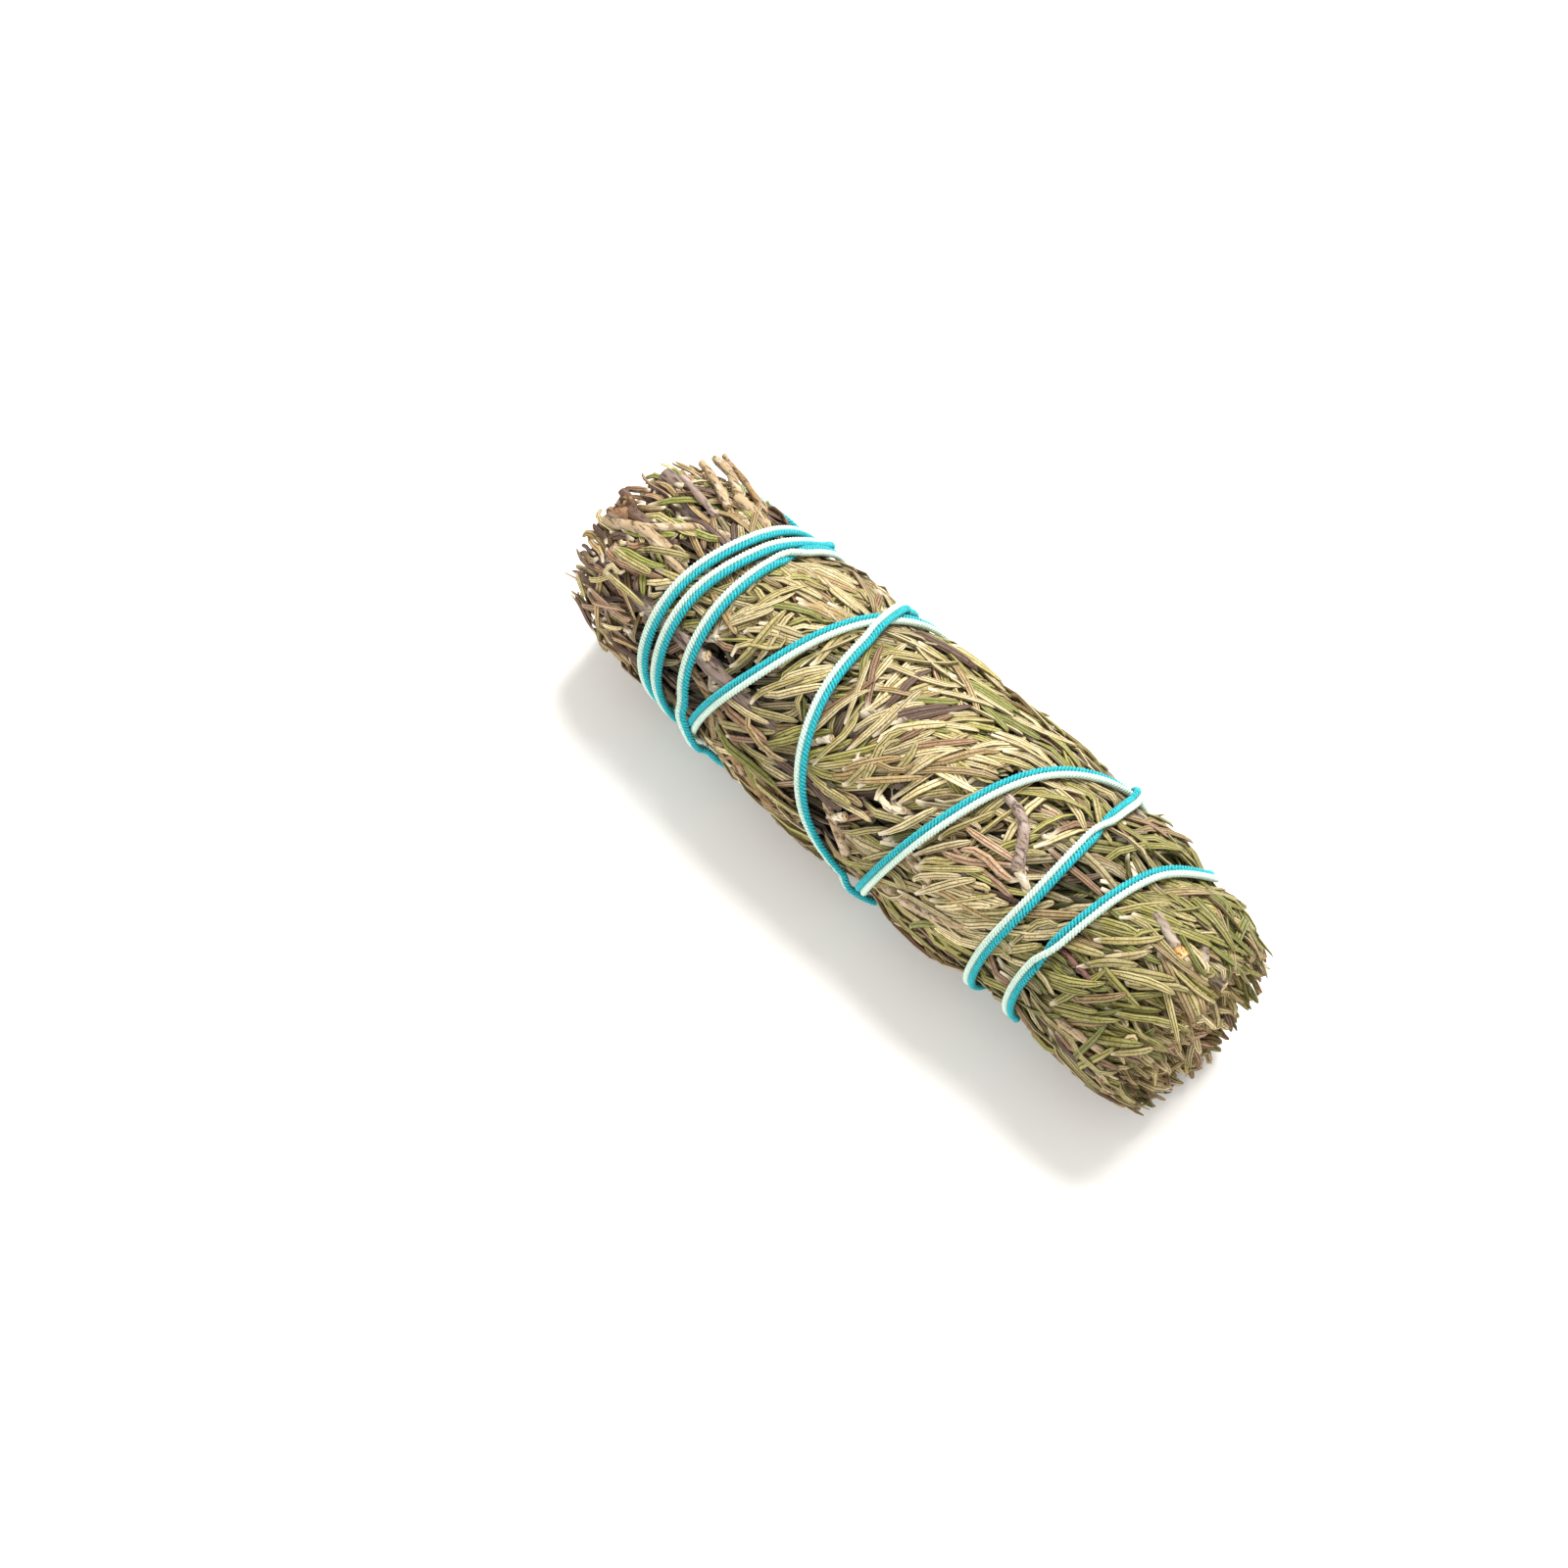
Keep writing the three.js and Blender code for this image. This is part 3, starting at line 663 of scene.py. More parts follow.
stem_depths = MM * growth.uniform(2.2, 4.4, 19)
node_marks = []
stems = []
for sprig in range(19):
    xs = np.linspace(growth.uniform(-60.5, -55) * MM, growth.uniform(45, 57) * MM, 30)
    stem = stem_line(sprig, xs)
    stems.append(stem)
    outer = sprig_rings[sprig] == 2
    spacing = 3.6 * MM if outer else 4.8 * MM
    side = 1
    for x in np.arange(-55 * MM, xs[-1], spacing):
        x = x + growth.normal(0, 0.8 * MM)
        base = np.array([np.interp(x, xs, stem[:, k]) for k in range(3)])
        degrees, radius = angle_and_radius(base)
        side = -side
        dead = float(smooth((-x - 42 * MM) / (8 * MM))) * growth.uniform(0.4, 1.0)
        if outer:
            degrees = degrees + side * growth.uniform(1, 12)
            lean = looked_up(lean_table, lean_angles, lean_places, degrees % 360, x)
            ragged = float(smooth((x - 34 * MM) / (16 * MM)))
            lean = lean + growth.normal(0, 12 + 26 * dead + 8 * ragged)
            count = growth.integers(6, 10) if dead < 0.3 else growth.integers(3, 6)
            fan_layer = growth.uniform(0, 2.2) * MM
            deep = fan_layer + growth.uniform(0.6, 1.5) * MM
            fan = growth.uniform(44, 84)
            reach = growth.uniform(56, 61.5) * MM
            for k in range(count):
                spread = (k / (count - 1) - 0.5) * fan + growth.normal(0, 4)
                length = np.clip(growth.normal(14.8, 1.9) - abs(spread) / 22, 8, 19) * MM
                stray = growth.uniform(0.7, 2.8) * MM if growth.random() < 0.11 + 0.22 * ragged else 0.0
                layer = fan_layer + abs(growth.normal(0, 0.3)) * MM
                lay_leaf(
                    sprig, x + growth.normal(0, 0.4 * MM), degrees + growth.normal(0, 1.0),
                    lean + 1.15 * spread, length * (1 - 0.4 * dead), layer * (stray == 0), deep,
                    -0.6 * math.radians(spread) + growth.normal(0, 0.18),
                    stray=stray, dead=dead, reach=reach,
                )
            node_marks.append((sprig, x, degrees, deep, lean))
        inward = 3 if outer else 5
        turn = growth.uniform(0, 360)
        for k in range(inward):
            about = math.radians(turn + k * 360 / inward + growth.normal(0, 14))
            across_way = np.array([0, math.cos(about), math.sin(about)])
            if outer:
                across_way = unit(across_way - 1.2 * outward(base))
            # Painted shade: the leaves that stand inside the bundle get browner, darker colours, as dead
            # ones do, and are drawn a little smaller.
            stand_leaf(
                sprig, base, np.array([1.0, 0, 0]), across_way, growth.uniform(18, 42),
                growth.uniform(9, 14) * MM, 5.0 * MM, dead=0.8, reach=growth.uniform(48, 57) * MM,
            )

# Loose leaves that lie across the others on the outside.
loose_leaves = 90
for _ in range(loose_leaves):
    x, degrees = growth.uniform(-50, 50) * MM, growth.uniform(0, 360)
    lay_leaf(sprig_at(degrees, bundle_radius), x, degrees, growth.normal(10, 50),
             growth.uniform(6, 13) * MM, growth.uniform(-0.3, 0.3) * MM, 0.4 * MM,
             growth.normal(0, 0.3), dead=growth.choice([0.0, 0.9], p=[0.75, 0.25]))

# Deeper leaves that fill the gaps between the fans.
filling_leaves = 760
for _ in range(filling_leaves):
    x, degrees = growth.uniform(-46, 50) * MM, growth.uniform(0, 360)
    lean = looked_up(lean_table, lean_angles, lean_places, degrees, x)
    layer = growth.uniform(1.2, 3.0) * MM
    lay_leaf(sprig_at(degrees, bundle_radius), x, degrees, lean + growth.normal(0, 25),
             growth.uniform(8, 14) * MM, layer, layer + 0.6 * MM, growth.normal(0, 0.3))

# The leaves that lie uppermost, in patches: a patch's colour and how many leaves it has, its middle as
# millimetres along the bundle and degrees round it, how far it spreads each way, and how many degrees
# its leaves turn from the way the others lean there.
surface_patches = [
    ("straw", 13, 0, 125, 12, 15, 0),
    ("olive", 8, 5, 130, 15, 15, 25),
    ("tan", 5, 0, 125, 10, 15, -20),
    ("dark", 3, -2, 105, 2, 3, 0),
    ("brown", 2, 3, 110, 2, 5, -10),
    ("straw", 12, 0, 70, 20, 10, 0),
    ("straw", 8, -28, 75, 10, 10, 0),
    ("tan", 4, -28, 80, 8, 8, 0),
    ("green", 6, 12, 75, 15, 20, 0),
    ("straw", 9, -25, 120, 12, 15, 0),
    ("olive", 8, -28, 125, 12, 20, 15),
    ("straw", 10, 22, 155, 12, 15, 0),
    ("pale", 9, 20, 158, 14, 15, 0),
    ("olive", 8, 22, 150, 15, 15, 10),
    ("tan", 4, 20, 145, 14, 15, -15),
    ("mauve", 3, 28, 118, 2, 4, 150),
    ("olive", 14, 47, 110, 9, 30, 0),
    ("fresh", 9, 46, 125, 8, 35, 0),
    ("green", 4, 48, 80, 8, 20, 0),
    ("tan", 5, 50, 90, 7, 40, 0),
    ("olive", 6, -50, 120, 6, 35, 0),
    ("green", 4, -52, 115, 4, 20, 20),
    ("mauve", 2, -55, 170, 3, 10, 0),
]
for colour, count, along, round_it, along_spread, round_spread, turned in surface_patches:
    for _ in range(count):
        x = (along + growth.uniform(-along_spread, along_spread)) * MM
        degrees = round_it + growth.uniform(-round_spread, round_spread)
        lean = looked_up(lean_table, lean_angles, lean_places, degrees, x) + turned
        lay_leaf(sprig_at(degrees, bundle_radius), x, degrees, lean + growth.normal(0, 14),
                 growth.uniform(9, 13) * MM, -0.3 * MM, 0.5 * MM, growth.normal(0, 0.15),
                 stray=0.3 * MM, colour=colour)

# Broken leaves and crumbs that fill both ends between the stems.
for end, count, nearest, furthest in ((-1, 980, 43, 60), (1, 700, 43, 60)):
    for _ in range(count):
        degrees, radius = growth.uniform(0, 360), 16.2 * MM * math.sqrt(growth.random())
        x = end * growth.uniform(nearest, furthest) * MM
        base = round_axis(x, radius, degrees)
        way = unit(np.array([growth.choice([1, end]), *growth.normal(0, 0.55, 2)]))
        aside = unit(growth.normal(0, 1, 3))
        stand_leaf(sprig_at(degrees, radius), base, way, aside, growth.uniform(-30, 30),
                   growth.uniform(3.5, 9) * MM, 4.0 * MM, dead=growth.uniform(0.4, 1) * (0.7 - 0.3 * end),
                   reach=growth.uniform(57, 60.5) * MM,
                   colour="" if end < 0 else growth.choice(["pale", "tan", "mauve", "olive", "straw"]))

leaf_lines = np.array(leaves["line"])
leaf_sprig = np.array(leaves["sprig"])
leaf_dead = np.array(leaves["dead"])
past_reach = leaf_lines[:, :, 0].max(1) - np.array(leaves["reach"])
leaf_lines[:, :, 0] -= np.maximum(past_reach, 0)[:, None]
short_of = -(bundle_reach - 1 * MM) - leaf_lines[:, :, 0].min(1)
leaf_lines[:, :, 0] += np.maximum(short_of, 0)[:, None]

# Woody pieces that lie on the outside: thickness at each end in millimetres, a colour's name, and their
# corners as millimetres along the bundle, degrees round it and depth under the leaves' highest place.
surface_wood = [
    (1.5, 1.1, "tan", [(-21, 175, 0.6), (-15, 186, 0.5), (-7, 192, 0.5), (3, 194, 0.6), (14, 196, 0.8)]),
    (1.3, 0.9, "tan", [(-36, 150, 1.0), (-27, 160, 0.7), (-19, 170, 0.6), (-10, 179, 0.6), (-3, 186, 0.9)]),
    (1.5, 1.4, "pale", [(7, 184, 0.8), (15.8, 170, 0.2), (20, 165, 0.1), (25, 158, 0.2), (29, 154, 0.9)]),
    (1.5, 1.9, "mauve", [(17, 92, 1.2), (22, 96, 0.1), (25, 101, -0.1), (27, 110, 0.0), (28.4, 118, 0.3)]),
    (1.0, 1.6, "pale", [(12, 152, 1.2), (15, 150, 0.5), (18.6, 148, 0.2)]),
    (1.5, 1.2, "pale", [(41, 167, 0.7), (46.4, 163, 0.1), (50, 160, 0.0), (54.5, 159, 0.1)]),
    (1.4, 1.2, "tan", [(36, 190, 0.8), (42, 194, 0.4), (49, 196, 0.4), (56, 193, 0.3)]),
    (1.0, 0.8, "red", [(38, 134, 1.0), (42, 133, 0.2), (46, 133, 0.2), (49, 133, 0.8)]),
    (1.2, 1.7, "pale", [(-5, 150, 1.2), (-1, 158, 0.6), (4.1, 172, 0.1)]),
    (1.2, 1.7, "wool", [(-35, 151, 1.0), (-32.6, 143, 0.3), (-31, 137, 0.1)]),
    (1.1, 1.7, "wool", [(32, 127, 1.2), (30.2, 120, 0.2), (28.8, 117, 0.0)]),
    (0.9, 1.4, "wool", [(-10, 139, 1.2), (-8, 131, 0.4), (-6.4, 126.5, 0.1)]),
    (0.9, 1.4, "wool", [(-1.5, 163, 1.1), (0.4, 156, 0.3), (1.8, 152, 0.1)]),
    (1.0, 1.2, "wool", [(4, 133, 1.0), (7, 134, 0.2), (9.4, 130, 0.0)]),
    (0.8, 1.2, "wool", [(39, 76, 1.0), (41.4, 80, 0.2), (43, 84, 0.1)]),
    (1.7, 1.6, "grey", [(44.3, 84, 0.6), (48.3, 88, 0.1), (51.9, 91, 0.0), (53.2, 92, 0.0)]),
    (1.5, 1.9, "amber", [(52.4, 91.6, 0.1), (53.6, 92, 0.0), (54.9, 92, 0.2)]),
    (1.7, 0.8, "pale", [(54.2, 92, 0.3), (56, 92, 0.6), (57.9, 94, 1.2)]),
    (1.5, 1.7, "grey", [(50, 70, 2.8), (54.1, 74, 0.8), (57.0, 86, 0.5)]),
    (1.5, 1.9, "grey", [(52, 86, 4.0), (57.0, 82, 2.6), (60.8, 80, 2.0)]),
    (1.5, 2.1, "dark", [(-47, 103, 1.4), (-53, 105, 0.2), (-56.5, 106, -0.1), (-58.6, 107, -0.6)]),
    (2.2, 1.5, "dark", [(-56.4, 106, 0.2), (-58.6, 101, -0.6), (-60.4, 99, -0.9)]),
    (2.0, 1.2, "orange", [(-56.6, 107, -0.4), (-58.9, 112, -0.9), (-60.2, 113, -0.6)]),
    (1.7, 2.0, "pale", [(-47, 108, 0.6), (-52.4, 109, -0.2), (-56, 113, 0.2), (-60, 119, 0.5)]),
    (1.0, 1.6, "pale", [(-40.5, 73, 0.9), (-46, 88, 0.3), (-50.5, 102, 0.0), (-53.6, 110, 0.0)]),
    (1.1, 1.6, "pale", [(-40.5, 115, 0.9), (-47, 111, 0.3), (-53.2, 109, 0.0)]),
    (3.2, 3.6, "orange", [(-46, 127, 3.4), (-51, 128, 2.6), (-55.4, 130, 1.8)]),
    (2.2, 2.0, "pale", [(-39.5, 52, 1.0), (-41.5, 54, 0.4), (-44.5, 56, 0.1), (-47.6, 57, -0.4)]),
    (1.5, 1.2, "pale", [(-46.6, 66, 0.3), (-51, 60, -0.7), (-56.2, 52, -1.9)]),
    (1.7, 1.3, "pale", [(-46.6, 57, -0.3), (-51.5, 48, -1.6), (-57.0, 37, -2.6)]),
    (1.2, 0.9, "tan", [(-43.0, 48, 0.4), (-49, 42, -1.2), (-57.0, 30, -3.5)]),
    (1.1, 1.1, "mauve", [(-46.2, 76, 0.4), (-50, 76, -0.8), (-54.6, 74, -2.0)]),
    (0.6, 0.3, "pale", [(-54, 168, 2.6), (-58, 168, 1.4), (-62.4, 173, 0.5)]),
    (0.7, 0.5, "tan", [(-53, 176, 3.0), (-57, 178, 2.0), (-60.6, 174, 1.2)]),
    (1.6, 1.5, "mauve", [(-48, 240, 1.2), (-53, 244, 0.6), (-59.6, 238, 0.4)]),
    (1.2, 1.3, "tan", [(-46, 10, 1.6), (-53, 14, 1.0), (-60.5, 20, 0.8)]),
    (1.7, 1.5, "pale", [(-47, 305, 1.4), (-54, 300, 0.8), (-59.0, 308, 0.9)]),
    (1.0, 0.8, "tan", [(-20, 330, 0.8), (-8, 322, 0.2), (6, 318, 0.2), (18, 320, 0.9)]),
    (1.3, 1.0, "grey", [(16, 20, 0.9), (24, 26, 0.3), (32, 30, 0.3), (41, 28, 1.0)]),
    (1.1, 0.9, "tan", [(44, 340, 0.8), (51, 344, 0.3), (60.5, 338, 0.6)]),
]

# The knob at the end of the dark stem, made of crumbs of bark that cling to it.
knob_crumbs = 34
for _ in range(knob_crumbs):
    off_middle = unit(growth.normal(0, 1, 3)) * growth.uniform(0.5, 1.25)
    x, degrees, depth = np.array([-58.6, 105.5, -0.5]) + off_middle * [1, 4.4, 1]
    onward = (x, degrees, depth) + off_middle * [0.45, 2, 0.45]
    thick = growth.uniform(0.6, 1.2)
    colour = growth.choice(["dark", "mauve", "orange", "tan"], p=[0.35, 0.25, 0.15, 0.25])
    surface_wood.append((thick, 0.7 * thick, colour, [(x, degrees, depth), onward]))

surface_lines = []
for _, _, _, corners in surface_wood:
    corners = np.array(corners) * [MM, 1, MM]
    line = on_bundle(corners[:, 0], corners[:, 1], corners[:, 2])
    line[:, 2] = np.maximum(line[:, 2], 1.0 * MM)
    spans = len(corners) - 1
    surface_lines.append(through(line, np.linspace(0, spans, 5 * spans + 1)))


def near_pairs(flat, reach):
    """All pairs of points nearer than about one cell to each other."""
    cell = np.floor(flat / reach).astype(np.int64)
    cell -= cell.min(0) - 1
    size = cell.max(0) + 2
    key = (cell[:, 0] * size[1] + cell[:, 1]) * size[2] + cell[:, 2]
    order = np.argsort(key, kind="stable")
    ranked = key[order]
    firsts, seconds = [], []
    offsets = [
        (i, j, k) for i in (-1, 0, 1) for j in (-1, 0, 1) for k in (-1, 0, 1) if (i, j, k) > (0, 0, 0)
    ]
    for offset in [(0, 0, 0), *offsets]:
        step = (offset[0] * size[1] + offset[1]) * size[2] + offset[2]
        low = np.searchsorted(ranked, ranked + step, "left")
        high = np.searchsorted(ranked, ranked + step, "right")
        if step == 0:
            low = np.arange(len(ranked)) + 1
        count = np.maximum(high - low, 0)
        first = np.repeat(np.arange(len(ranked)), count)
        within = np.arange(count.sum()) - np.repeat(np.cumsum(count) - count, count)
        firsts.append(order[first])
        seconds.append(order[np.repeat(low, count) + within])
    return np.concatenate(firsts), np.concatenate(seconds)


def settle(lines, layer, stray, wood, rounds):
    """Presses the leaves together: none lies in another or in wood, or above the binding's reach."""
    over_contact, beside_contact = 0.74 * MM, 1.18 * MM
    bends = np.linalg.qr(np.stack([t_line**k for k in range(4)], 1))[0]
    keeps_smooth = bends @ bends.T
    total = lines.size // 3
    owner = np.concatenate([np.repeat(np.arange(len(lines)), leaf_points), np.full(len(wood), len(lines))])
    layer = np.append(layer, -1 * MM)
    free = np.concatenate([np.tile(smooth((t_line + 0.02) / 0.22), len(lines)), np.zeros(len(wood))])
    lift = (stray[:, None] * t_line**2).ravel()
    for _ in range(rounds):
        flat = np.concatenate([lines.reshape(-1, 3), wood])
        out = outward(flat)
        one, two = near_pairs(flat, beside_contact)
        apart = flat[one] - flat[two]
        rise = (apart * out[one]).sum(1)
        beside = apart - rise[:, None] * out[one]
        gap = np.hypot(rise / over_contact, np.linalg.norm(beside, axis=1) / beside_contact)
        touching = (gap < 1) & (owner[one] != owner[two])
        one, two, gap, rise, beside = (v[touching] for v in (one, two, gap, rise, beside))
        order = np.sign(layer[owner[two]] - layer[owner[one]])
        upwards = rise / over_contact + 0.35 * order
        way = unit(beside / beside_contact + upwards[:, None] * out[one])
        fixed = 1 + (free[one] * free[two] == 0)
        moves = way * ((1 - gap) * 0.5 * over_contact * fixed)[:, None]
        shift = np.zeros_like(flat)
        hits = np.bincount(one, minlength=len(flat)) + np.bincount(two, minlength=len(flat))
        for axis in range(3):
            shift[:, axis] = np.bincount(one, moves[:, axis], len(flat))
            shift[:, axis] -= np.bincount(two, moves[:, axis], len(flat))
        shift *= (free * 1.6 / np.maximum(hits, 1.6))[:, None]
        flat, out, shift = flat[:total], out[:total], shift[:total]
        angle, radius = angle_and_radius(flat)
        over = np.maximum(radius - ceiling(flat[:, 0], angle, lift), 0)
        shift -= out * over[:, None]
        shift[:, 2] += np.maximum(0.6 * MM - flat[:, 2], 0)
        moved = np.einsum("ij,njk->nik", keeps_smooth, shift.reshape(lines.shape))
        lines = lines + 0.8 * moved
    return lines


leaf_lines = settle(
    leaf_lines, np.array(leaves["layer"]), np.array(leaves["stray"]),
    np.concatenate(stems[7:] + surface_lines), 40,
)

# ---- The leaves ----
# Rosemary leaves are narrow and leathery with their edges rolled under. Dried, they show one fine
# furrow above; below, a midrib runs between two furrows. The furrows and the rolled edges are darkened
# with painted shade. They are pale and woolly at the base.
leaf_finish, leaf_node, leaf_shader = painted("dried_rosemary_leaf")
leaf_paint = reading(leaf_node, "leaf_colour", "Color")
leaf_across = leaf_node(
    "ShaderNodeMath", {0: reading(leaf_node, "section_across")}, operation="ABSOLUTE"
)
leaf_above = ramp(leaf_node, reading(leaf_node, "section_out"), -0.12, 0.12)
leaf_along = reading(leaf_node, "along")
leaf_place = leaf_node("ShaderNodeTexCoord", output=3)
mottle = leaf_node("ShaderNodeTexNoise", {"Vector": leaf_place, "Scale": 620.0, "Detail": 3.0})
stipple = leaf_node(
    "ShaderNodeTexNoise", {"Vector": leaf_place, "Scale": 3300.0, "Detail": 2.0, "Roughness": 0.65}
)
dark_leaf = leaf_node(
    "ShaderNodeHueSaturation", {"Color": leaf_paint, "Value": 0.13, "Saturation": 1.15}
)
light_leaf = leaf_node(
    "ShaderNodeHueSaturation", {"Color": leaf_paint, "Value": 1.42, "Saturation": 0.78}
)
leaf_rim = ramp(leaf_node, leaf_across, 0.55, 0.8)
leaf_body = mixed(leaf_node, ramp(leaf_node, mottle, 0.36, 0.68, 0.0, 0.6), leaf_paint, light_leaf)
leaf_body = mixed(leaf_node, ramp(leaf_node, stipple, 0.53, 0.66, 0.0, 0.6), leaf_body, dark_leaf)
# Painted shade: the furrow along the middle of the upper side is darkened.
upper_furrow_painted_shade = ramp(leaf_node, leaf_across, 0.06, 0.22, 0.9, 0.0)
leaf_top = mixed(leaf_node, upper_furrow_painted_shade, leaf_body, dark_leaf)
# Painted shade: the two furrows beside the midrib beneath are darkened.
under_inner = ramp(leaf_node, leaf_across, 0.20, 0.34)
under_outer = ramp(leaf_node, leaf_across, 0.46, 0.58, 1.0, 0.0)
under_furrow_painted_shade = leaf_node("ShaderNodeMath", {0: under_inner, 1: under_outer}, operation="MULTIPLY")
under_furrow_painted_shade = leaf_node("ShaderNodeMath", {0: under_furrow_painted_shade, 1: 0.92}, operation="MULTIPLY")
leaf_under = mixed(leaf_node, leaf_node("ShaderNodeMath", {0: leaf_rim, 1: 0.5}, operation="MULTIPLY"),
                   leaf_body, light_leaf)
leaf_under = mixed(leaf_node, under_furrow_painted_shade, leaf_under, dark_leaf)
leaf_skin = mixed(leaf_node, leaf_above, leaf_under, leaf_top)
# Painted shade: the rolled-under edges of each leaf are darkened, giving it a dark outline.
leaf_skin = mixed(leaf_node, ramp(leaf_node, leaf_across, 0.76, 0.97, 0.0, 0.92), leaf_skin, dark_leaf)
wool = ramp(leaf_node, leaf_along, 0.03, 0.2, 0.9, 0.0)
leaf_skin = mixed(leaf_node, wool, leaf_skin, (*linear(206, 192, 168), 1))
leaf_skin = mixed(leaf_node, ramp(leaf_node, leaf_along, 0.95, 1.0, 0.0, 0.4), leaf_skin, dark_leaf)
leaf_links = leaf_finish.node_tree.links
leaf_links.new(leaf_skin, leaf_shader.inputs["Base Color"])
leaf_shader.inputs["Roughness"].default_value = 0.6
leaf_shader.inputs["Specular IOR Level"].default_value = 0.3
leaf_relief = leaf_node(
    "ShaderNodeMath", {0: stipple, 1: -0.6, 2: mottle}, operation="MULTIPLY_ADD"
)
leaf_bump = leaf_node("ShaderNodeBump", {"Strength": 0.6, "Distance": 0.00014, "Height": leaf_relief})
leaf_links.new(leaf_bump, leaf_shader.inputs["Normal"])

# Dried leaf colours, from straw through olive to brown, and how common each is.
leaf_colour_names = ["straw", "olive", "pale", "fresh", "tan", "brown", "dark", "green", "mauve"]
leaf_colours = np.array([
    linear(180, 162, 116),
    linear(164, 149, 92),
    linear(200, 180, 130),
    linear(148, 140, 70),
    linear(152, 127, 82),
    linear(138, 105, 74),
    linear(92, 68, 54),
    linear(122, 122, 54),
    linear(160, 128, 98),
])
leaf_shares = np.array([0.20, 0.22, 0.08, 0.18, 0.12, 0.07, 0.04, 0.07, 0.02])


def leaf_tints(lines, dead, chosen):
    """A colour for each leaf: greener and a little darker towards the tips, brown and a little lighter at
    the cut end, browner round the bundle's -Y side and underside, with painted shade on the leaves that lie
    deep inside and painted light on the deep ones near the tip end.
    """
    middle = lines[:, leaf_points // 2]
    angle, radius = angle_and_radius(middle)
    greener = smooth((middle[:, 0] - 22 * MM) / (26 * MM))
    brown_from = 150 + 30 * smooth((middle[:, 0] + 5 * MM) / (20 * MM))
    browner = np.maximum(dead, 0.7 * smooth((angle - brown_from) / 35) * smooth((330 - angle) / 40))
    shares = np.tile(leaf_shares, (len(lines), 1))
    shares[:, [3, 7]] *= (1 + 3.2 * greener * (1 - browner))[:, None]
    shares[:, [0, 2]] *= (1 - 0.6 * greener)[:, None]
    shares[:, [4, 5, 6]] *= (1 + 4 * browner)[:, None]
    shares[:, [0, 1, 3, 7]] *= (1 - 0.75 * browner)[:, None]
    ranks = np.cumsum(shares / shares.sum(1, keepdims=True), axis=1)
    pick = (growth.random(len(lines))[:, None] > ranks).sum(1)
    pick = [leaf_colour_names.index(name) if name else n for name, n in zip(chosen, pick)]
    tint = leaf_colours[np.minimum(pick, len(leaf_colours) - 1)]
    depth = binding_radius(middle[:, 0]) - radius
    inside = 1 - 0.75 * smooth((np.abs(middle[:, 0]) - 42 * MM) / (8 * MM))
    # Painted shade: a leaf is darker the deeper it lies under the others, less so near the ends.
    painted_shading_and_tone = 1 - 0.88 * inside * smooth((depth - 0.55 * MM) / (2.0 * MM))
    # Painted light: near the tip end the deep leaves are brightened.
    painted_shading_and_tone *= 1 + 0.9 * smooth((middle[:, 0] - 50 * MM) / (7 * MM)) * smooth((depth - 0.8 * MM) / (3 * MM))
    painted_shading_and_tone *= (1 + 0.2 * smooth((-44 * MM - middle[:, 0]) / (6 * MM))) * (1 - 0.17 * greener)
    return tint * (growth.uniform(0.82, 1.18, len(lines)) * painted_shading_and_tone)[:, None]


# A leaf's outline: how broad it is at places from its base to its tip.
outline_places = np.array([0.0, 0.13, 0.36, 0.62, 0.83, 0.95, 1.0])
outline_breadths = np.array([0.42, 0.70, 0.98, 1.0, 0.88, 0.60, 0.22])
powers = np.stack([t_line**k for k in range(6)], 1)
resample = np.stack([outline_places**k for k in range(6)], 1) @ np.linalg.pinv(powers)

leaf_tint = leaf_tints(leaf_lines, leaf_dead, leaves["colour"])
leaf_size = growth.uniform(0.8, 1.1, len(leaf_lines)) * (1 - 0.25 * leaf_dead)
roll = np.where(
    growth.random(len(leaf_lines)) < 0.35,
    growth.normal(0, 0.35, len(leaf_lines)),
    growth.normal(math.pi, 0.35, len(leaf_lines)),
)
runs = np.einsum("ij,njk->nik", resample, leaf_lines)
ahead = unit(np.gradient(runs, axis=1))
out = outward(runs)
out = unit(out - ahead * (out * ahead).sum(-1, keepdims=True))
sideways = np.cross(ahead, out)
twist = roll[:, None] + growth.normal(0, 0.3, (len(runs), 1)) * (outline_places - 0.5)
facing = out * np.cos(twist)[..., None] + sideways * np.sin(twist)[..., None]


def kept_above_table(made):
    """Presses flat whatever would reach below the table that the bundle lies on."""
    points = np.empty(len(made.data.vertices) * 3, np.float32)
    made.data.vertices.foreach_get("co", points)
    points[2::3] = np.maximum(points[2::3], 0.02 * MM)
    made.data.vertices.foreach_set("co", points)
    made.data.update()


for sprig, name in enumerate(sprig_names):
    mine = leaf_sprig == sprig
    count = mine.sum()
    values = {
        "facing": facing[mine].reshape(-1, 3),
        "breadth": (leaf_size[mine][:, None] * outline_breadths).ravel(),
        "along": np.tile(outline_places, count),
        "leaf_colour": np.repeat(
            np.concatenate([leaf_tint[mine], np.ones((count, 1))], 1), len(outline_places), axis=0
        ),
    }
    foliage = swept(
        name + "_leaves", list(runs[mine]), values, leaf_finish,
        Sides=8, Width=leaf_width, Thickness=leaf_thickness, Groove=0.42,
    )
    kept_above_table(foliage)
    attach(foliage, "root")
    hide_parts(name)

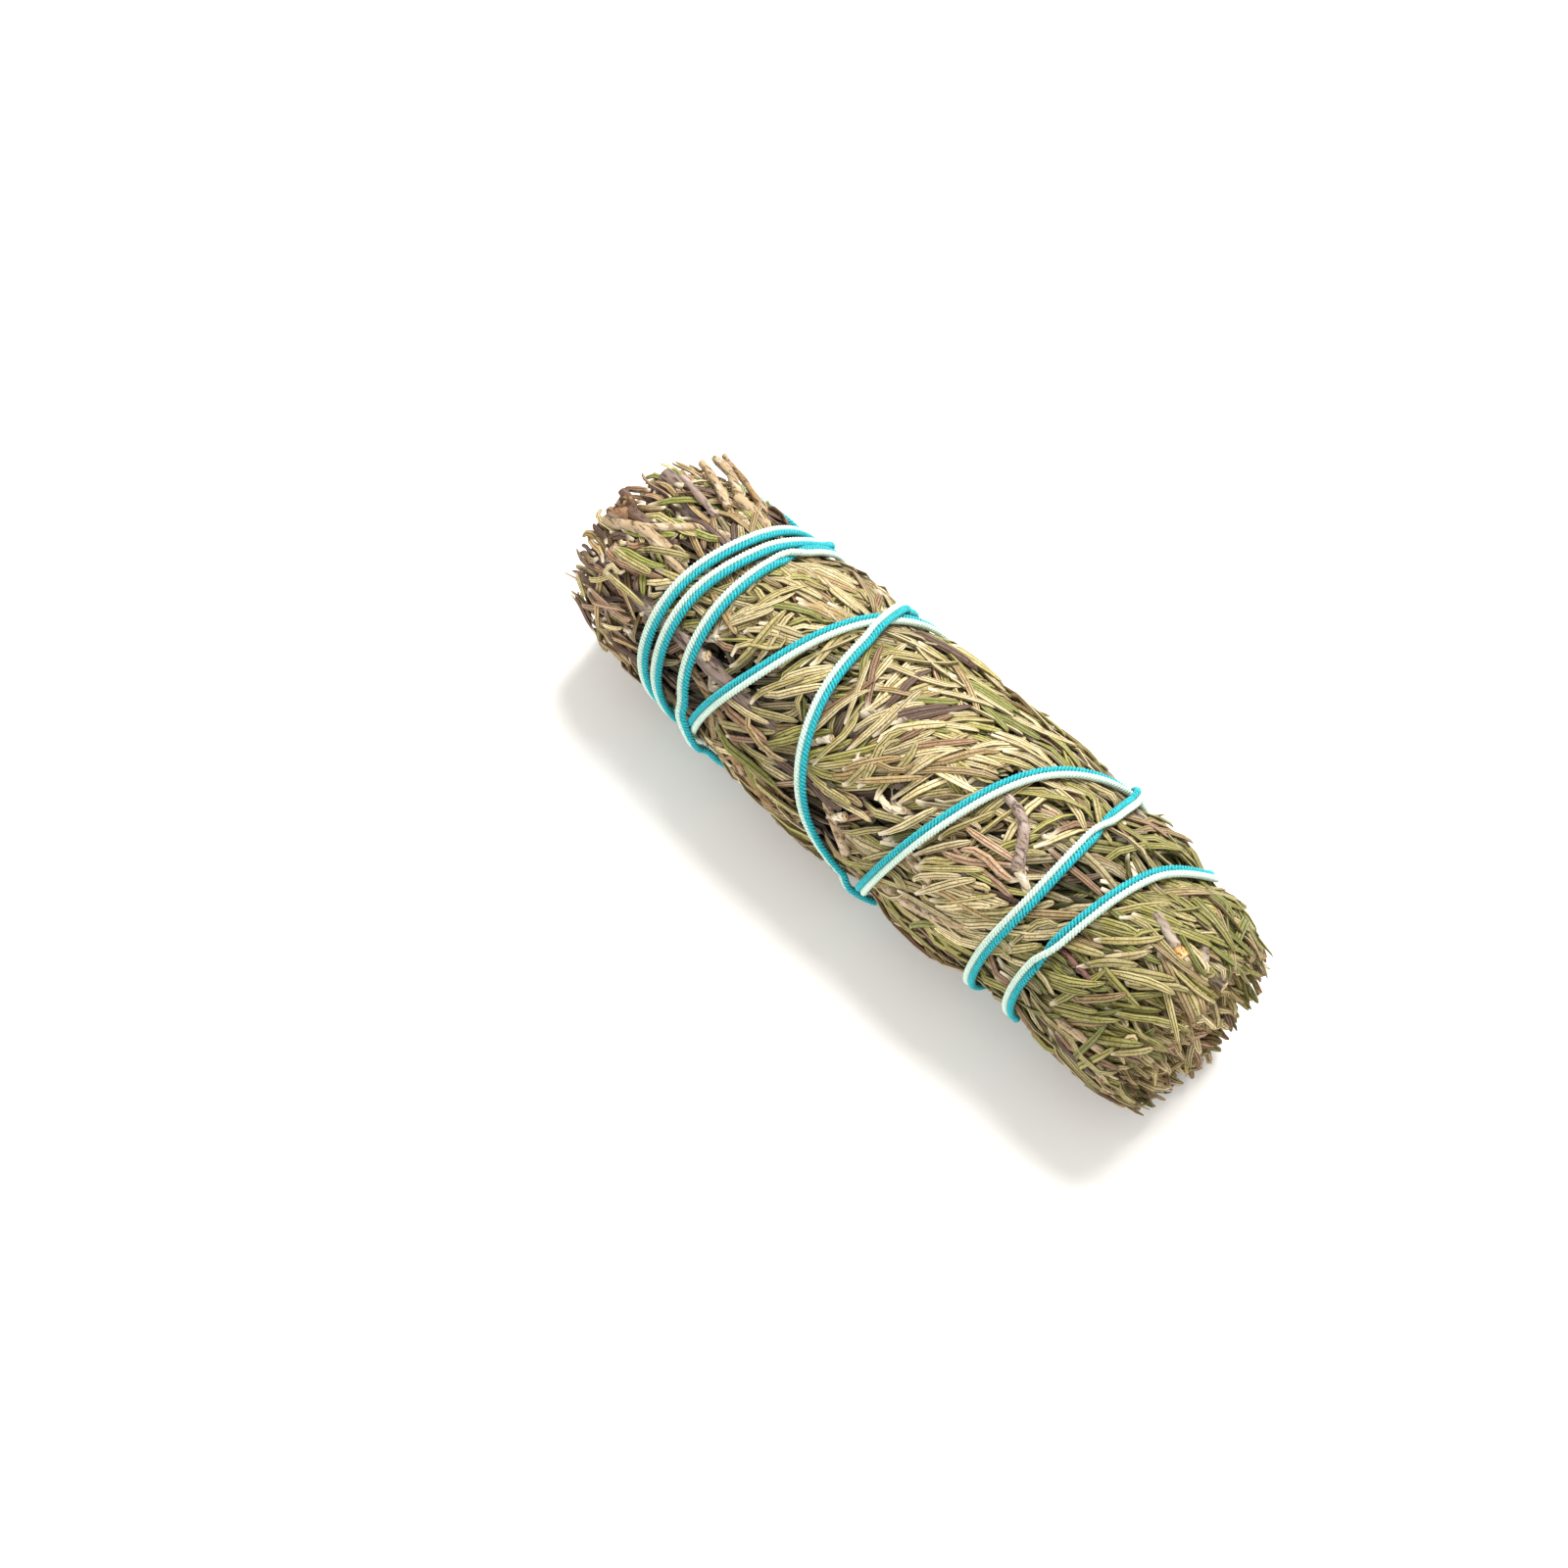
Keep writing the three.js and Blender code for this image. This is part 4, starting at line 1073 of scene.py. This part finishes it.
# ---- The stems and twigs ----
# Each sprig's stem runs its whole length, thinning towards the tips. Twigs lead from it to the nodes,
# which are pale and woolly. The bark is dry and fibrous, and the cut ends show paler wood and a pith.
bark_finish, bark_node, bark_shader = painted("rosemary_bark")
bark_paint = reading(bark_node, "bark_colour", "Color")
bark_place = bark_node(
    "ShaderNodeMapping",
    {"Vector": bark_node("ShaderNodeTexCoord", output=3), "Scale": (0.16, 1.0, 1.0)},
)
fibres = bark_node(
    "ShaderNodeTexNoise", {"Vector": bark_place, "Scale": 1900.0, "Detail": 4.0, "Roughness": 0.7}
)
patches = bark_node("ShaderNodeTexNoise", {"Vector": bark_place, "Scale": 700.0, "Detail": 2.0})
dark_bark = bark_node("ShaderNodeHueSaturation", {"Color": bark_paint, "Value": 0.22, "Saturation": 1.2})
pale_bark = bark_node("ShaderNodeHueSaturation", {"Color": bark_paint, "Value": 1.4, "Saturation": 0.7})
bark_body = mixed(bark_node, ramp(bark_node, patches, 0.45, 0.62, 0.0, 0.8), bark_paint, pale_bark)
bark_body = mixed(bark_node, ramp(bark_node, fibres, 0.48, 0.62, 0.0, 0.95), bark_body, dark_bark)
cut_spot = bark_node(
    "ShaderNodeCombineXYZ",
    {0: reading(bark_node, "section_across"), 1: reading(bark_node, "section_out")},
)
cut_radius = bark_node("ShaderNodeVectorMath", {0: cut_spot}, output=1, operation="LENGTH")
cut_wood = mixed(
    bark_node, ramp(bark_node, cut_radius, 0.16, 0.3), (*linear(104, 78, 50), 1), (*linear(206, 178, 136), 1)
)
cut_wood = mixed(bark_node, ramp(bark_node, fibres, 0.45, 0.7, 0.0, 0.7), cut_wood, dark_bark)
cut_wood = mixed(bark_node, ramp(bark_node, cut_radius, 0.72, 0.92), cut_wood, dark_bark)
bark_skin = mixed(bark_node, ramp(bark_node, reading(bark_node, "cut"), 0.5, 0.9), bark_body, cut_wood)
bark_links = bark_finish.node_tree.links
bark_links.new(bark_skin, bark_shader.inputs["Base Color"])
bark_shader.inputs["Roughness"].default_value = 0.8
bark_shader.inputs["Specular IOR Level"].default_value = 0.2
bark_bump = bark_node("ShaderNodeBump", {"Strength": 0.8, "Distance": 0.00018, "Height": fibres})
bark_links.new(bark_bump, bark_shader.inputs["Normal"])

bark_colours = {
    "pale": linear(172, 149, 117),
    "tan": linear(150, 122, 86),
    "grey": linear(146, 130, 112),
    "mauve": linear(148, 128, 116),
    "dark": linear(98, 74, 56),
    "orange": linear(144, 111, 82),
    "red": linear(104, 62, 50),
    "amber": linear(206, 136, 44),
    "wool": linear(206, 190, 162),
}
wood_runs = {name: {"points": [], "breadth": [], "cut": [], "bark_colour": []} for name in sprig_names}


def add_wood(sprig, points, breadths, colour):
    """A woody length through some points, closed with a cut face at each end."""
    last = len(points) - 1
    places = np.concatenate([[0, 0.04], np.arange(1, last), [last - 0.04, last]])
    points = through(np.asarray(points), places)
    breadths = np.interp(places, np.linspace(0, last, len(breadths)), breadths)
    kept = wood_runs[sprig_names[sprig]]
    kept["points"].append(points)
    kept["breadth"].append(breadths)
    kept["cut"].append(np.concatenate([[1], np.zeros(len(places) - 2), [1]]))
    kept["bark_colour"].append(np.tile([*colour, 1], (len(places), 1)))


for sprig, stem in enumerate(stems):
    thick = growth.uniform(2.3, 3.1) * MM
    swelling = 1 + 0.25 * np.maximum(0, np.cos(np.linspace(0, 46, len(stem)))) ** 4
    kind = growth.choice(["pale", "tan", "grey", "mauve"])
    tint = np.array(bark_colours[kind]) * growth.uniform(0.55, 0.9)
    add_wood(sprig, stem, np.linspace(thick, 0.42 * thick, len(stem)) * swelling, tint)
for sprig, x, degrees, deep, lean in node_marks:
    start = np.array([np.interp(x - 3.5 * MM, stems[sprig][:, 0], stems[sprig][:, k]) for k in range(3)])
    node_spot = on_bundle(x, degrees, deep - 0.25 * MM)[0]
    onward = on_bundle(x + 1.3 * MM, degrees - lean / 20, deep - 0.35 * MM)[0]
    middle = 0.5 * (start + node_spot) - 0.4 * MM * outward(node_spot)
    twig = through(np.array([start, middle, node_spot, onward]), np.linspace(0, 3, 10))
    size = growth.uniform(0.8, 1.15)
    add_wood(sprig, twig, size * MM * np.array([0.8, 0.7, 0.75, 0.85, 1.2, 1.25, 0.7]),
             np.array(bark_colours["wool"]) * growth.uniform(0.6, 0.95))
for (first, last, colour, _), line in zip(surface_wood, surface_lines):
    degrees, _ = angle_and_radius(line[len(line) // 2])
    uneven = growth.uniform(0.9, 1.16, len(line))
    add_wood(sprig_at(float(degrees), bundle_radius), line,
             np.linspace(first, last, len(line)) * MM * uneven, bark_colours[colour])

for name, kept in wood_runs.items():
    points = np.concatenate(kept["points"])
    values = {key: np.concatenate(kept[key]) for key in ("breadth", "cut", "bark_colour")}
    values["facing"] = outward(points)
    woody = swept(
        name + "_wood", kept["points"], values, bark_finish,
        Sides=9, Width=1.0, Thickness=1.0, **{"Bark height": 0.0006, "Bark size": 1300.0},
    )
    kept_above_table(woody)
    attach(woody, "root")
    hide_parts(name)
